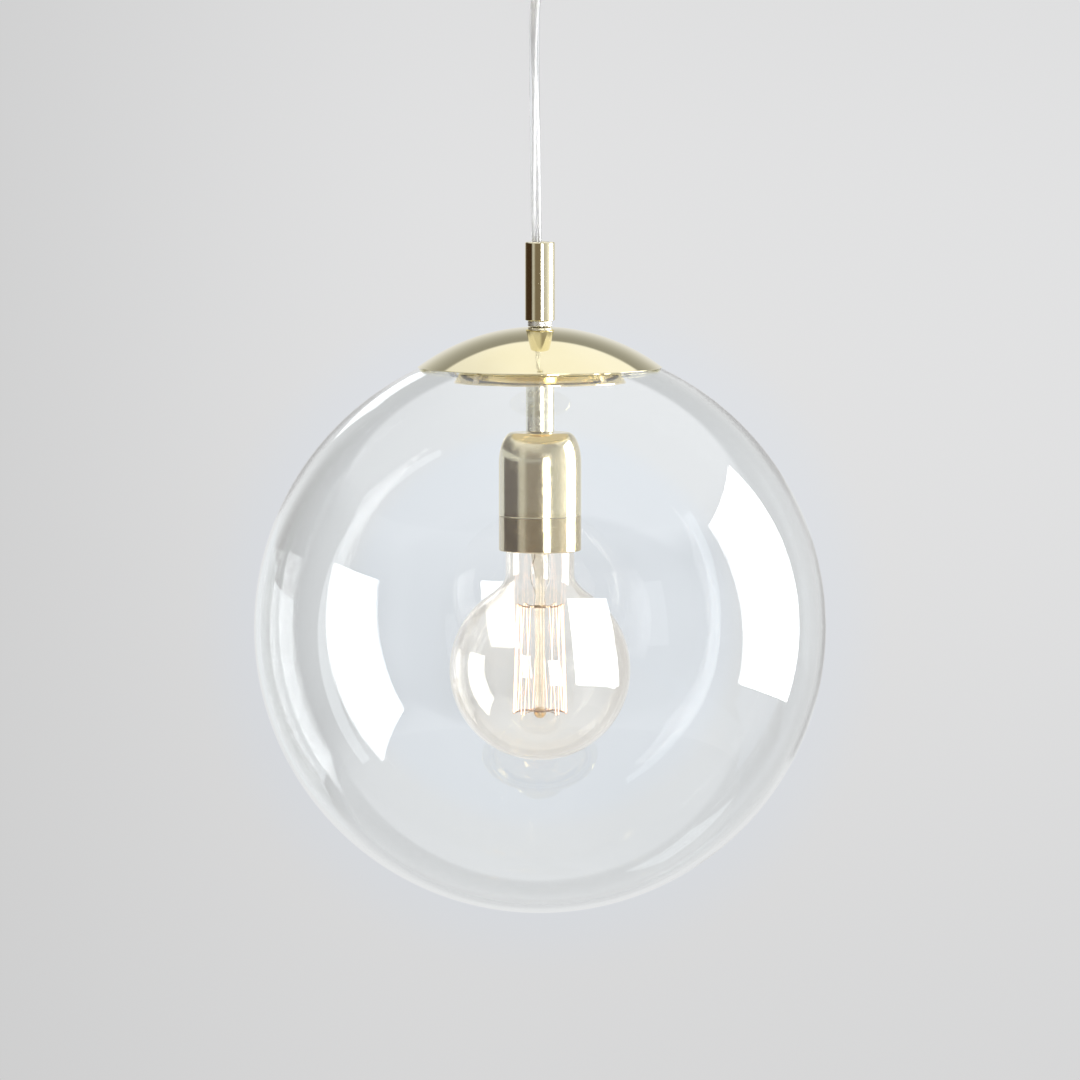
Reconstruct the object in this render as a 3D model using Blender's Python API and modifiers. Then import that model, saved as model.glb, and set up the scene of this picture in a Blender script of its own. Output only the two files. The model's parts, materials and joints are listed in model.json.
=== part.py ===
"""Pendant ceiling light: a clear glass globe under a polished brass cap, with a globe bulb.

Everything is in metres, +Z up. The origin is the middle of the ceiling plate's top face,
which is fixed to the ceiling, and the light hangs below it. Heights in this script are
measured up from the globe's centre, and CEILING_HEIGHT is the height of the origin.
"""

from math import acos, asin, cos, degrees, pi, radians, sin, sqrt

import bmesh
import bpy
from mathutils import Matrix, Vector

# Driving dimensions.
GLOBE_RADIUS = 0.150
GLASS_WALL = 0.003
OPENING_RADIUS = 0.050
OPENING_EDGE = (0.1389, 0.1405)
CEILING_HEIGHT = 0.384
PIVOT_HEIGHT = 0.352
GAP = 0.0003
GLOBE_STEPS = 40

# Cord and the threaded tube it runs through.
CORD_RADIUS = 0.00265
CORE_RADIUS = 0.0009
NIPPLE_RADIUS = 0.00485
NIPPLE_BORE = 0.0039
NIPPLE_HOLE = NIPPLE_RADIUS + GAP
NIPPLE_TOP = 0.1655
NIPPLE_BOTTOM = 0.0950

# Cap over the globe's opening, and the gallery inside it.
CAP_RADIUS = 0.064
CAP_CURVE = 0.1068
CAP_CURVE_HEIGHT = 0.0511
CAP_WALL = 0.0008
CAP_RIM_HEIGHT = 0.13645
GALLERY_RADIUS = 0.0425
GALLERY_BOTTOM = 0.1280
GALLERY_TOP = 0.1478
GALLERY_WALL = 0.0010
GALLERY_FLOOR = 0.0012
GALLERY_FOOT_RADIUS = 0.0450
GALLERY_FOOT_TOP = 0.1330
NOTCH_BOTTOM = 0.1462
GASKET_INNER = 0.0530
GASKET_OUTER = 0.0570
CATCH_WIDTH = 0.007
CATCH_WALL = 0.0005
CATCH_COUNT = 3
CATCH_FIRST_ANGLE = radians(90)

# Cord grip above the cap and tube below it.
GRIP_RADIUS = 0.00785
GRIP_TOP = 0.2022
GRIP_BOTTOM = 0.1612
GRIP_BORE = 0.0050
GRIP_EDGE = 0.0007
GRIP_SHELF = 0.1758
CLAMP_HEIGHT = 0.1860
CLAMP_HOLE = 0.0022
CAP_NUT_RADIUS = 0.00645
HOLDER_NUT_FLATS = 0.0140
HOLDER_NUT_BOTTOM = 0.0980
HOLDER_NUT_TOP = 0.1010
STEM_RADIUS = 0.0074
STEM_TOP = GALLERY_BOTTOM - GAP
STEM_BOTTOM = 0.1027

# Lamp holder.
HOLDER_RADIUS = 0.0216
HOLDER_WALL = 0.0011
HOLDER_TOP = 0.1024
HOLDER_BOTTOM = 0.0404
HOLDER_SEAM = 0.0587
SHOULDER_WIDTH = 0.0070
SHOULDER_HEIGHT = 0.0165
HOLDER_LIP = 0.0193
CERAMIC_TOP = 0.0790
CERAMIC_SHOULDER = 0.0770
CERAMIC_BOTTOM = 0.0480
CERAMIC_FLAT = 0.0120
WIREWAY_RADIUS = 0.0016
TERMINAL_SIZE = (0.0050, 0.0060, 0.0056)
TERMINAL_OFFSET = 0.0092
TERMINAL_HEIGHT = 0.0821
SOCKET_TOP = 0.0725
SOCKET_BOTTOM = 0.0490
SOCKET_RADIUS = 0.0140
SOCKET_WALL = 0.0005
SOCKET_HOLE = 0.0062

# Bulb: a 95 mm globe on a 27 mm screw cap.
BULB_RADIUS = 0.0475
BULB_CENTRE = -0.0225
BULB_WALL = 0.0007
NECK_RADIUS = 0.0180
NECK_TOP = 0.0380
NECK_BOTTOM = 0.0275
NECK_MEETS_GLOBE = 0.0267
LOOP_COUNT = 9
CAGE_TOP = 0.0115
CAGE_BOTTOM = -0.0450
CAGE_TOP_RADIUS = 0.0120
CAGE_BOTTOM_RADIUS = 0.0140
FILAMENT_RADIUS = 0.00022
LEAD_RADIUS = 0.00025
SPOKE_HALF_WIDTH = 0.00015
HUB_RADIUS = 0.0036
HUB_HOLE = 0.0029
HUB_WALL = 0.0004

# Ceiling fitting.
CANOPY_RADIUS = 0.050
CANOPY_WALL = 0.0012
CANOPY_BOTTOM = 0.3580
CANOPY_CORNER = 0.006
PLATE_WALL = 0.0015
PLATE_RIM_HEIGHT = 0.0090
PLATE_SCREW_OFFSET = 0.030
PLATE_SCREW_HOLE = 0.0025
CABLE_HOLE = 0.0075
CABLE_OFFSET = 0.0240
SCREW_HEIGHT = 0.3785
SCREW_HOLE = 0.0018
BLOCK_SIZE = (0.0300, 0.0140, 0.0110)
BLOCK_PLACE = (0.0, -0.0120, 0.3765)
GLAND_TOP = 0.3632
GLAND_THREAD = 0.0059
GLAND_HOLE = 0.0062
GLAND_FLATS = 0.0160
MOUTH_BOTTOM = 0.3472
MOUTH_RADIUS = 0.0082
FLANGE_RADIUS = 0.0095
BALL_RADIUS = 0.0050
STOP_BOTTOM = 0.3635
STOP_TOP = 0.3668

# The cord's axis from inside the grip to the ceiling fitting: (sideways, height).
CORD_ROUTE = [
    (-0.0018, 0.1800),
    (-0.0018, 0.1900),
    (-0.0018, 0.2060),
    (-0.0022, 0.2300),
    (-0.0026, 0.2600),
    (-0.0029, 0.2900),
    (-0.0028, 0.3150),
    (-0.0019, 0.3350),
    (-0.0006, 0.3480),
    (0.0000, PIVOT_HEIGHT),
    (0.0001, PIVOT_HEIGHT + 0.0022),
]


# ---------------------------------------------------------------- scene and materials

def clear_scene():
    for thing in list(bpy.data.objects):
        bpy.data.objects.remove(thing, do_unlink=True)


def new_collection(name):
    made = bpy.data.collections.new(name)
    bpy.context.scene.collection.children.link(made)
    return made


def finish(name, colour, roughness, metallic=0.0, transmission=0.0):
    made = bpy.data.materials.new(name)
    made.use_nodes = True
    shader = made.node_tree.nodes["Principled BSDF"]
    shader.inputs["Base Color"].default_value = (*colour, 1.0)
    shader.inputs["Roughness"].default_value = roughness
    shader.inputs["Metallic"].default_value = metallic
    shader.inputs["Transmission Weight"].default_value = transmission
    return made


clear_scene()
LIGHT = new_collection("pendant_ceiling_light")
CUTTERS = new_collection("cutters")

BRASS = finish("polished_brass", (0.86, 0.76, 0.52), 0.08, metallic=1.0)
CONTACT_BRASS = finish("contact_brass", (0.78, 0.62, 0.32), 0.30, metallic=1.0)
STEEL = finish("zinc_steel", (0.66, 0.66, 0.68), 0.25, metallic=1.0)
SHADE_GLASS = finish("shade_glass", (0.96, 0.98, 0.98), 0.0, transmission=1.0)
BULB_GLASS = finish("bulb_glass", (0.95, 0.90, 0.82), 0.0, transmission=1.0)
FILAMENT = finish("filament", (1.0, 0.72, 0.45), 0.5)
SHEATH = finish("clear_sheath", (0.86, 0.88, 0.90), 0.15, transmission=0.6)
CORE_BROWN = finish("live_insulation", (0.30, 0.16, 0.09), 0.4)
CORE_BLUE = finish("neutral_insulation", (0.10, 0.22, 0.55), 0.4)
NYLON = finish("white_nylon", (0.85, 0.85, 0.83), 0.4)
CERAMIC = finish("holder_ceramic", (0.90, 0.89, 0.85), 0.35)
RUBBER = finish("clear_silicone", (0.80, 0.80, 0.78), 0.5)
BLACK_GLASS = finish("black_glass", (0.02, 0.02, 0.03), 0.1)


# ---------------------------------------------------------------- shape helpers

def add(name, data, look, place=(0.0, 0.0, -CEILING_HEIGHT), collection=LIGHT):
    """Put a mesh or curve in the scene; its own Z = 0 is the globe's centre."""
    data.materials.append(look)
    piece = bpy.data.objects.new(name, data)
    piece.location = place
    collection.objects.link(piece)
    return piece


def turned(name, outline, look, steps=32, solid=False):
    """Turn an outline of (radius, height) points about the light's axis.

    The outline runs down its outer side. A solid one starts and ends on the axis, and any
    other closes on itself.
    """
    count = len(outline)
    edges = [(i, (i + 1) % count) for i in range(count - 1 if solid else count)]
    mesh = bpy.data.meshes.new(name)
    mesh.from_pydata([(radius, 0.0, height) for radius, height in outline], edges, [])
    piece = add(name, mesh, look)
    screw = piece.modifiers.new("Turn", "SCREW")
    screw.steps = steps
    screw.render_steps = steps
    screw.use_merge_vertices = True
    screw.merge_threshold = 0.00001
    return piece


def rod(name, radius, length, look, place, along="Z", sides=24, collection=LIGHT):
    """A plain cylinder centred at (x, y, height), lying along X, Y or Z."""
    turn = {"X": Matrix.Rotation(pi / 2, 4, "Y"), "Y": Matrix.Rotation(pi / 2, 4, "X"), "Z": Matrix()}
    shape = bmesh.new()
    bmesh.ops.create_cone(shape, cap_ends=True, segments=sides, radius1=radius, radius2=radius,
                          depth=length, matrix=turn[along])
    mesh = bpy.data.meshes.new(name)
    shape.to_mesh(mesh)
    shape.free()
    mesh.shade_smooth()
    mesh.set_sharp_from_angle(angle=radians(40))
    x, y, height = place
    return add(name, mesh, look, (x, y, height - CEILING_HEIGHT), collection)


def block(name, size, look, place, collection=LIGHT, bevel=0.0):
    """A box centred at (x, y, height), with its edges rounded by the bevel."""
    shape = bmesh.new()
    bmesh.ops.create_cube(shape, size=1.0, matrix=Matrix.Diagonal((*size, 1.0)))
    mesh = bpy.data.meshes.new(name)
    shape.to_mesh(mesh)
    shape.free()
    x, y, height = place
    piece = add(name, mesh, look, (x, y, height - CEILING_HEIGHT), collection)
    if bevel:
        rounding = piece.modifiers.new("Round", "BEVEL")
        rounding.width = bevel
        rounding.segments = 2
    return piece


def cut(piece, cutter):
    """Take the cutter's shape out of a piece."""
    cutter.hide_render = True
    cutter.display_type = "WIRE"
    hole = piece.modifiers.new("Cut", "BOOLEAN")
    hole.operation = "DIFFERENCE"
    hole.object = cutter


def wire(name, points, radius, look, resolution=2):
    """A round wire through (x, y, height) points."""
    curve = bpy.data.curves.new(name, "CURVE")
    curve.dimensions = "3D"
    curve.bevel_depth = radius
    curve.bevel_resolution = resolution
    curve.use_fill_caps = True
    spline = curve.splines.new("POLY")
    spline.points.add(len(points) - 1)
    for point, place in zip(spline.points, points):
        point.co = (*place, 1.0)
    return add(name, curve, look)


def flat(name, loops, thickness, look):
    """A flat plate in the XY plane; the first loop is its outline, the rest are its holes."""
    curve = bpy.data.curves.new(name, "CURVE")
    curve.dimensions = "2D"
    curve.fill_mode = "BOTH"
    curve.extrude = thickness / 2
    for loop in loops:
        spline = curve.splines.new("POLY")
        spline.points.add(len(loop) - 1)
        spline.use_cyclic_u = True
        for point, (x, y) in zip(spline.points, loop):
            point.co = (x, y, 0.0, 1.0)
    return add(name, curve, look)


def strip(path, thickness):
    """The closed outline of a bent sheet strip that follows a path of (x, y) points."""
    points = [Vector(point) for point in path]
    sides = [[], []]
    for i, point in enumerate(points):
        ahead = (points[min(i + 1, len(points) - 1)] - point).normalized()
        behind = (point - points[max(i - 1, 0)]).normalized()
        along = (ahead + behind).normalized()
        normal = Vector((-along.y, along.x))
        lean = normal.dot(Vector((-ahead.y, ahead.x))) if ahead.length else 1.0
        reach = thickness / 2 / max(lean, 0.5)
        sides[0].append(tuple(point + normal * reach))
        sides[1].append(tuple(point - normal * reach))
    return sides[0] + sides[1][::-1]


def arc(centre_x, centre_y, radius_x, radius_y, start, end, count):
    """Points on an ellipse, by angle in degrees from its X axis."""
    angles = [radians(start + (end - start) * i / (count - 1)) for i in range(count)]
    return [(centre_x + radius_x * cos(a), centre_y + radius_y * sin(a)) for a in angles]


def smooth_through(points, count):
    """A smooth curve through the points, as evenly parametered points."""
    vectors = [Vector(point) for point in points]
    last = len(vectors) - 1
    result = []
    for i in range(count):
        place = i / (count - 1) * last
        k = min(int(place), last - 1)
        t = place - k
        p0, p1, p2, p3 = (vectors[min(max(k + j, 0), last)] for j in (-1, 0, 1, 2))
        result.append(0.5 * (2 * p1 + (p2 - p0) * t + (2 * p0 - 5 * p1 + 4 * p2 - p3) * t ** 2
                             + (3 * p1 - p0 - 3 * p2 + p3) * t ** 3))
    return result


# ---------------------------------------------------------------- glass globe and its cap

def make_globe():
    """A blown globe with a fire-polished round opening at the top."""
    inner = GLOBE_RADIUS - GLASS_WALL
    lip = OPENING_RADIUS + 2 * GAP
    outer_start = 90 - degrees(asin(lip / GLOBE_RADIUS))
    inner_end = 90 - degrees(asin(lip / inner))
    up_inside = arc(0, 0, inner, inner, -90, inner_end, 15)
    up_inside[0] = (0.0, -inner)
    down_outside = arc(0, 0, GLOBE_RADIUS, GLOBE_RADIUS, outer_start, -90, 15)
    down_outside[-1] = (0.0, -GLOBE_RADIUS)
    edge = [(OPENING_RADIUS, height) for height in OPENING_EDGE]
    turned("glass_globe", up_inside + edge + down_outside, SHADE_GLASS, GLOBE_STEPS, solid=True)


def cap_height(radius, inset=0.0):
    """Height of the cap's outer face, or of a face inset from it, at a radius."""
    return CAP_CURVE_HEIGHT + sqrt((CAP_CURVE - inset) ** 2 - radius ** 2)


def make_cap():
    """The shallow dome that covers the opening, with a hole for the nipple."""
    count = 7
    rim_inner = sqrt((CAP_CURVE - CAP_WALL) ** 2 - (CAP_RIM_HEIGHT - CAP_CURVE_HEIGHT) ** 2)
    outer = [NIPPLE_HOLE + (CAP_RADIUS - NIPPLE_HOLE) * i / (count - 1) for i in range(count)]
    inner = [NIPPLE_HOLE + (rim_inner - NIPPLE_HOLE) * i / (count - 1) for i in range(count)]
    outline = [(r, cap_height(r)) for r in outer] + [(CAP_RADIUS, CAP_RIM_HEIGHT)]
    outline += [(r, cap_height(r, CAP_WALL)) for r in reversed(inner)]
    turned("dome_cap", outline, BRASS, GLOBE_STEPS)


def make_gasket():
    """A soft ring between the cap and the glass."""
    sides = (GASKET_INNER, GASKET_OUTER)
    top = [(r, cap_height(r, CAP_WALL) - GAP) for r in sides]
    low = [(r, sqrt(GLOBE_RADIUS ** 2 - r ** 2) + GAP) for r in sides]
    turned("shade_gasket", top + low[::-1], RUBBER, GLOBE_STEPS)


def make_gallery():
    """The shallow brass drum that the catches hang on, notched at its top and flared at its foot."""
    inner = GALLERY_RADIUS - GALLERY_WALL
    floor = GALLERY_BOTTOM + GALLERY_FLOOR
    corner = 0.0006
    edge = arc(GALLERY_FOOT_RADIUS - corner, GALLERY_BOTTOM + corner, corner, corner, 0, -90, 3)
    outline = [(GALLERY_RADIUS, GALLERY_TOP), (GALLERY_RADIUS, GALLERY_FOOT_TOP)] + edge
    outline += [(NIPPLE_HOLE, GALLERY_BOTTOM), (NIPPLE_HOLE, floor), (inner, floor), (inner, GALLERY_TOP)]
    gallery = turned("shade_gallery", outline, BRASS, 32)
    size = (0.006, CATCH_WIDTH + 4 * GAP, 0.004)
    for i in range(CATCH_COUNT):
        angle = CATCH_FIRST_ANGLE + i * 2 * pi / CATCH_COUNT
        place = (GALLERY_RADIUS * cos(angle), GALLERY_RADIUS * sin(angle), NOTCH_BOTTOM + size[2] / 2)
        notch = block(f"notch_cutter_{i + 1}", size, STEEL, place, CUTTERS)
        notch.rotation_euler.z = angle
        cut(gallery, notch)


def make_catches():
    """Sprung steel fingers, hooked over the gallery's edge, that the glass rests on."""
    path = [(0.0404, 0.1400), (0.0404, 0.1462), (0.0411, 0.1468), (0.0428, 0.1468), (0.0434, 0.1463),
            (0.0462, 0.1403), (0.0532, 0.1353), (0.0533, 0.1347), (0.0506, 0.1320)]
    outline = strip(path, CATCH_WALL)
    for i in range(CATCH_COUNT):
        angle = CATCH_FIRST_ANGLE + i * 2 * pi / CATCH_COUNT
        catch = flat(f"glass_catch_{i + 1}", [outline], CATCH_WIDTH, STEEL)
        catch.rotation_euler = (pi / 2, 0.0, angle)


# ---------------------------------------------------------------- brass fittings on the axis

def make_grip():
    """The tube that grips the cord, with a set screw and a nylon plug pressing on it."""
    chamfer = 0.0003
    outline = [(GRIP_BORE, GRIP_TOP)]
    outline += arc(GRIP_RADIUS - GRIP_EDGE, GRIP_TOP - GRIP_EDGE, GRIP_EDGE, GRIP_EDGE, 90, 0, 3)
    outline += [(GRIP_RADIUS, GRIP_BOTTOM + chamfer), (GRIP_RADIUS - chamfer, GRIP_BOTTOM)]
    outline += [(NIPPLE_HOLE, GRIP_BOTTOM), (NIPPLE_HOLE, GRIP_SHELF), (GRIP_BORE, GRIP_SHELF + chamfer)]
    grip = turned("cord_grip", outline, BRASS, 24)
    side = (GRIP_RADIUS, 0.0, CLAMP_HEIGHT)
    cut(grip, rod("clamp_cutter", CLAMP_HOLE, 0.0090, STEEL, side, "X", collection=CUTTERS))
    radius = CLAMP_HOLE - GAP
    rod("clamp_plug", radius, 0.0030, NYLON, (0.0028, 0.0, CLAMP_HEIGHT), "X")
    rod("clamp_screw", radius, 0.0028, STEEL, (0.0061, 0.0, CLAMP_HEIGHT), "X")


def ring(name, inner, outer, low, high, look, bevel=0.0, steps=20):
    """A plain ring with small chamfers on its outer edges."""
    outline = [(inner, high), (outer - bevel, high), (outer, high - bevel), (outer, low + bevel),
               (outer - bevel, low), (inner, low)]
    if not bevel:
        outline = [(inner, high), (outer, high), (outer, low), (inner, low)]
    return turned(name, outline, look, steps)


def hex_nut(name, bore, across_flats, low, high):
    """A plain hexagon nut on the light's axis."""
    corner = across_flats / sqrt(3)
    middle = (0.0, 0.0, (low + high) / 2)
    nut = rod(name, corner, high - low, STEEL, middle, sides=6)
    cut(nut, rod(f"{name}_cutter", bore, 2 * (high - low), STEEL, middle, collection=CUTTERS))


def make_axis_fittings():
    """Nipple, nuts and the spacer tube that hangs the lamp holder under the cap."""
    ring("nipple", NIPPLE_BORE, NIPPLE_RADIUS, NIPPLE_BOTTOM, NIPPLE_TOP, STEEL, 0.0004)
    cap_top = cap_height(NIPPLE_HOLE)
    ring("cap_nut", NIPPLE_HOLE, CAP_NUT_RADIUS, cap_top + GAP, GRIP_BOTTOM - GAP, STEEL, 0.0004, 24)
    ring("stem_tube", NIPPLE_HOLE, STEM_RADIUS, STEM_BOTTOM, STEM_TOP, BRASS, 0.0002, 24)
    hex_nut("holder_nut", NIPPLE_HOLE, HOLDER_NUT_FLATS, HOLDER_NUT_BOTTOM, HOLDER_NUT_TOP)


# ---------------------------------------------------------------- lamp holder

def make_holder():
    """The brass shell in two parts, the ceramic body and the contacts inside."""
    centre = HOLDER_RADIUS - SHOULDER_WIDTH
    shoulder = HOLDER_TOP - SHOULDER_HEIGHT
    inner_top = HOLDER_TOP - HOLDER_WALL
    outline = [(NIPPLE_HOLE, HOLDER_TOP)]
    outline += arc(centre, shoulder, SHOULDER_WIDTH, SHOULDER_HEIGHT, 90, 0, 7)
    outline += [(HOLDER_RADIUS, HOLDER_SEAM + GAP / 2), (HOLDER_RADIUS - HOLDER_WALL, HOLDER_SEAM + GAP / 2)]
    outline += arc(centre, shoulder, SHOULDER_WIDTH - HOLDER_WALL, SHOULDER_HEIGHT - HOLDER_WALL, 0, 90, 6)
    outline += [(NIPPLE_HOLE, inner_top)]
    turned("holder_cap", outline, BRASS, 32)

    inner = HOLDER_RADIUS - HOLDER_WALL
    top = HOLDER_SEAM - GAP / 2
    chamfer = 0.0006
    turned("holder_ring", [
        (HOLDER_RADIUS, top), (HOLDER_RADIUS, HOLDER_BOTTOM + chamfer),
        (HOLDER_RADIUS - chamfer, HOLDER_BOTTOM), (HOLDER_LIP, HOLDER_BOTTOM),
        (HOLDER_LIP, HOLDER_BOTTOM + HOLDER_WALL), (inner, HOLDER_BOTTOM + 2 * HOLDER_WALL), (inner, top),
    ], BRASS, 32)

    bore = SOCKET_RADIUS + GAP
    skirt = inner - GAP
    body = turned("holder_body", [
        (0.0, CERAMIC_TOP), (CERAMIC_FLAT, CERAMIC_TOP), (skirt, CERAMIC_SHOULDER),
        (skirt, CERAMIC_BOTTOM), (bore, CERAMIC_BOTTOM), (bore, SOCKET_TOP + GAP), (0.0, SOCKET_TOP + GAP),
    ], CERAMIC, 32, solid=True)
    for side in (-1, 1):
        place = (side * 0.0060, 0.0090, 0.0760)
        hole = rod(f"wireway_cutter_{side}", WIREWAY_RADIUS, 0.0120, STEEL, place, "Z", 12, CUTTERS)
        cut(body, hole)

    shell = SOCKET_RADIUS - SOCKET_WALL
    under = SOCKET_TOP - SOCKET_WALL
    turned("screw_shell", [
        (SOCKET_HOLE, SOCKET_TOP), (SOCKET_RADIUS, SOCKET_TOP), (SOCKET_RADIUS, SOCKET_BOTTOM),
        (shell, SOCKET_BOTTOM), (shell, under), (SOCKET_HOLE, under),
    ], CONTACT_BRASS, 24)
    leaf = strip([(-0.0048, 0.0722), (-0.0030, 0.0710), (0.0030, 0.0710), (0.0048, 0.0722)], 0.0004)
    contact = flat("centre_contact", [leaf], 0.0040, CONTACT_BRASS)
    contact.rotation_euler.x = pi / 2


def make_holder_wiring():
    """The cord's run down the nipple, its two cores and the terminals they end in."""
    down = [(-0.0018, 0.0, 0.1797), (-0.0014, 0.0, 0.1730), (-0.0008, 0.0, 0.1665),
            (-0.0003, 0.0, 0.1500), (0.0, 0.0, 0.1250), (0.0, 0.0, 0.0935)]
    wire("cord_in_nipple", smooth_through(down, 9), CORD_RADIUS, SHEATH)
    for side, name, look in ((-1, "live", CORE_BROWN), (1, "neutral", CORE_BLUE)):
        route = [(side * 0.0011, 0.0, 0.0930), (side * 0.0016, 0.0, 0.0912), (side * 0.0036, 0.0, 0.0898),
                 (side * 0.0062, 0.0, 0.0889), (side * 0.0084, 0.0, 0.0875), (side * 0.0092, 0.0, 0.0853)]
        wire(f"{name}_core", smooth_through(route, 8), CORE_RADIUS, look)
        place = (side * TERMINAL_OFFSET, 0.0, TERMINAL_HEIGHT)
        block(f"{name}_terminal", TERMINAL_SIZE, CONTACT_BRASS, place, bevel=0.0003)
        place = (side * (TERMINAL_OFFSET + 0.0038), 0.0, TERMINAL_HEIGHT)
        rod(f"{name}_terminal_screw", 0.0013, 0.0020, STEEL, place, "X", 12)


# ---------------------------------------------------------------- bulb

def bulb_side(wall):
    """Outline of the bulb's glass, inset by a wall, from the neck's end to its lowest point."""
    neck = NECK_RADIUS - wall
    globe = BULB_RADIUS - wall
    meets = NECK_MEETS_GLOBE - wall * 0.6
    rise = sqrt(globe ** 2 - meets ** 2)
    join = Vector((meets, BULB_CENTRE + rise))
    start = Vector((neck, NECK_BOTTOM))
    bend = Vector((neck, join.y + meets / rise * (meets - neck)))
    points = [(0.0118 - wall, 0.0520), (0.0120 - wall, 0.0462), (0.0150 - wall, 0.0440),
              (0.0173 - wall, 0.0410), (neck, NECK_TOP)]
    for i in range(4):
        t = i / 3
        point = start * (1 - t) ** 2 + bend * 2 * t * (1 - t) + join * t ** 2
        points.append(tuple(point))
    top = 90 - degrees(acos(rise / globe))
    round_part = arc(0, BULB_CENTRE, globe, globe, top, -90, 10)[1:]
    round_part[-1] = (0.0, BULB_CENTRE - globe)
    return points + round_part


def make_bulb_shell():
    """Glass envelope, screw cap, black insulator and tip."""
    turned("bulb_envelope", bulb_side(BULB_WALL)[::-1] + bulb_side(0.0), BULB_GLASS, 32, solid=True)
    turned("bulb_cap", [
        (0.0104, 0.0666), (0.0130, 0.0646), (0.0130, 0.0465), (0.0126, 0.0465), (0.0126, 0.0644),
        (0.0101, 0.0663),
    ], CONTACT_BRASS, 24)
    turned("bulb_insulator", [
        (0.0, 0.0686), (0.0048, 0.0686), (0.0098, 0.0668), (0.0098, 0.0650), (0.0, 0.0650),
    ], BLACK_GLASS, 20, solid=True)
    turned("bulb_tip", [
        (0.0, 0.0704), (0.0030, 0.0703), (0.0045, 0.0695), (0.0045, 0.0689), (0.0, 0.0689),
    ], STEEL, 20, solid=True)


def cage_point(turn, radius, height):
    angle = 2 * pi * turn / LOOP_COUNT
    return (radius * sin(angle), -radius * cos(angle), height)


def make_cage_support(name, reach, height):
    """A hub on the glass rod with a spoke to every loop of the filament."""
    spokes = []
    for i in range(LOOP_COUNT):
        angle = 2 * pi * i / LOOP_COUNT
        out = Vector((cos(angle), sin(angle)))
        across = Vector((-out.y, out.x)) * SPOKE_HALF_WIDTH
        between = angle + pi / LOOP_COUNT
        root, tip = out * HUB_RADIUS, out * reach
        spokes += [tuple(root - across), tuple(tip - across), tuple(tip + across), tuple(root + across)]
        spokes += [(HUB_RADIUS * cos(between), HUB_RADIUS * sin(between))]
    hole = arc(0, 0, HUB_HOLE, HUB_HOLE, 0, 330, 12)
    support = flat(name, [spokes, hole], HUB_WALL, STEEL)
    support.location.z += height


def make_bulb_inside():
    """Glass stem and rod, the squirrel-cage filament, its supports and its lead wires."""
    turned("bulb_stem", [
        (0.0, 0.0480), (0.0052, 0.0480), (0.0046, 0.0400), (0.0040, 0.0340), (0.0032, 0.0280),
        (0.0025, 0.0255), (0.0025, CAGE_BOTTOM - 0.0018), (0.0014, CAGE_BOTTOM - 0.0030),
        (0.0, CAGE_BOTTOM - 0.0032),
    ], BULB_GLASS, 16, solid=True)
    make_cage_support("support_top", CAGE_TOP_RADIUS - 0.0007, CAGE_TOP - 0.0006)
    make_cage_support("support_bottom", CAGE_BOTTOM_RADIUS - 0.0007, CAGE_BOTTOM + 0.0006)
    points = []
    for i in range(LOOP_COUNT):
        if i:
            points += [cage_point(i - 0.12, CAGE_BOTTOM_RADIUS, CAGE_BOTTOM),
                       cage_point(i + 0.12, CAGE_BOTTOM_RADIUS, CAGE_BOTTOM)]
        points += [cage_point(i + 0.38, CAGE_TOP_RADIUS, CAGE_TOP),
                   cage_point(i + 0.62, CAGE_TOP_RADIUS, CAGE_TOP)]
    wire("filament", points, FILAMENT_RADIUS, FILAMENT)
    for name, end, side in (("lead_wire_1", points[0], 1), ("lead_wire_2", points[-1], -1)):
        x, y, height = end
        route = [(side * 0.0046, 0.0, 0.0330), (side * 0.0048, -0.001, 0.0250),
                 (x * 0.7, y * 0.7, 0.0175), (x, y, height + 2 * FILAMENT_RADIUS + GAP)]
        wire(name, smooth_through(route, 8), LEAD_RADIUS, STEEL)


# ---------------------------------------------------------------- cord and ceiling fitting

def make_cord():
    """The free stretch of the cord, from inside the grip to the ceiling fitting."""
    route = smooth_through([(x, 0.0, height) for x, height in CORD_ROUTE], 21)
    wire("cord", route, CORD_RADIUS, SHEATH)


def make_gland():
    """The mouth that lets the cord swing, its nut, and the rings inside it."""
    socket = arc(0, PIVOT_HEIGHT, BALL_RADIUS, BALL_RADIUS, 0, 44, 3)
    flange = CANOPY_BOTTOM - GAP
    turned("gland", [
        (GLAND_THREAD, GLAND_TOP), (GLAND_THREAD, flange), (FLANGE_RADIUS, flange),
        (FLANGE_RADIUS, 0.3560), (0.0090, MOUTH_BOTTOM), (MOUTH_RADIUS, MOUTH_BOTTOM),
        (0.0056, PIVOT_HEIGHT - 0.0010), *socket, (0.0036, GLAND_TOP),
    ], BRASS, 24)
    hex_nut("gland_nut", GLAND_HOLE, GLAND_FLATS, CANOPY_BOTTOM + CANOPY_WALL + GAP, GLAND_TOP - 0.0006)
    ring("gland_washer", 0.0034, 0.0046, PIVOT_HEIGHT - 0.0008, PIVOT_HEIGHT + 0.0008, RUBBER)
    ring("cord_stop", CORD_RADIUS + GAP, 0.0056, STOP_BOTTOM, STOP_TOP, NYLON, 0.0004)
    heights = (0.3558, 0.3620, STOP_TOP + 0.0012)
    wire("cord_in_canopy", [(0.0, 0.0, height) for height in heights], CORD_RADIUS, SHEATH)


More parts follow.
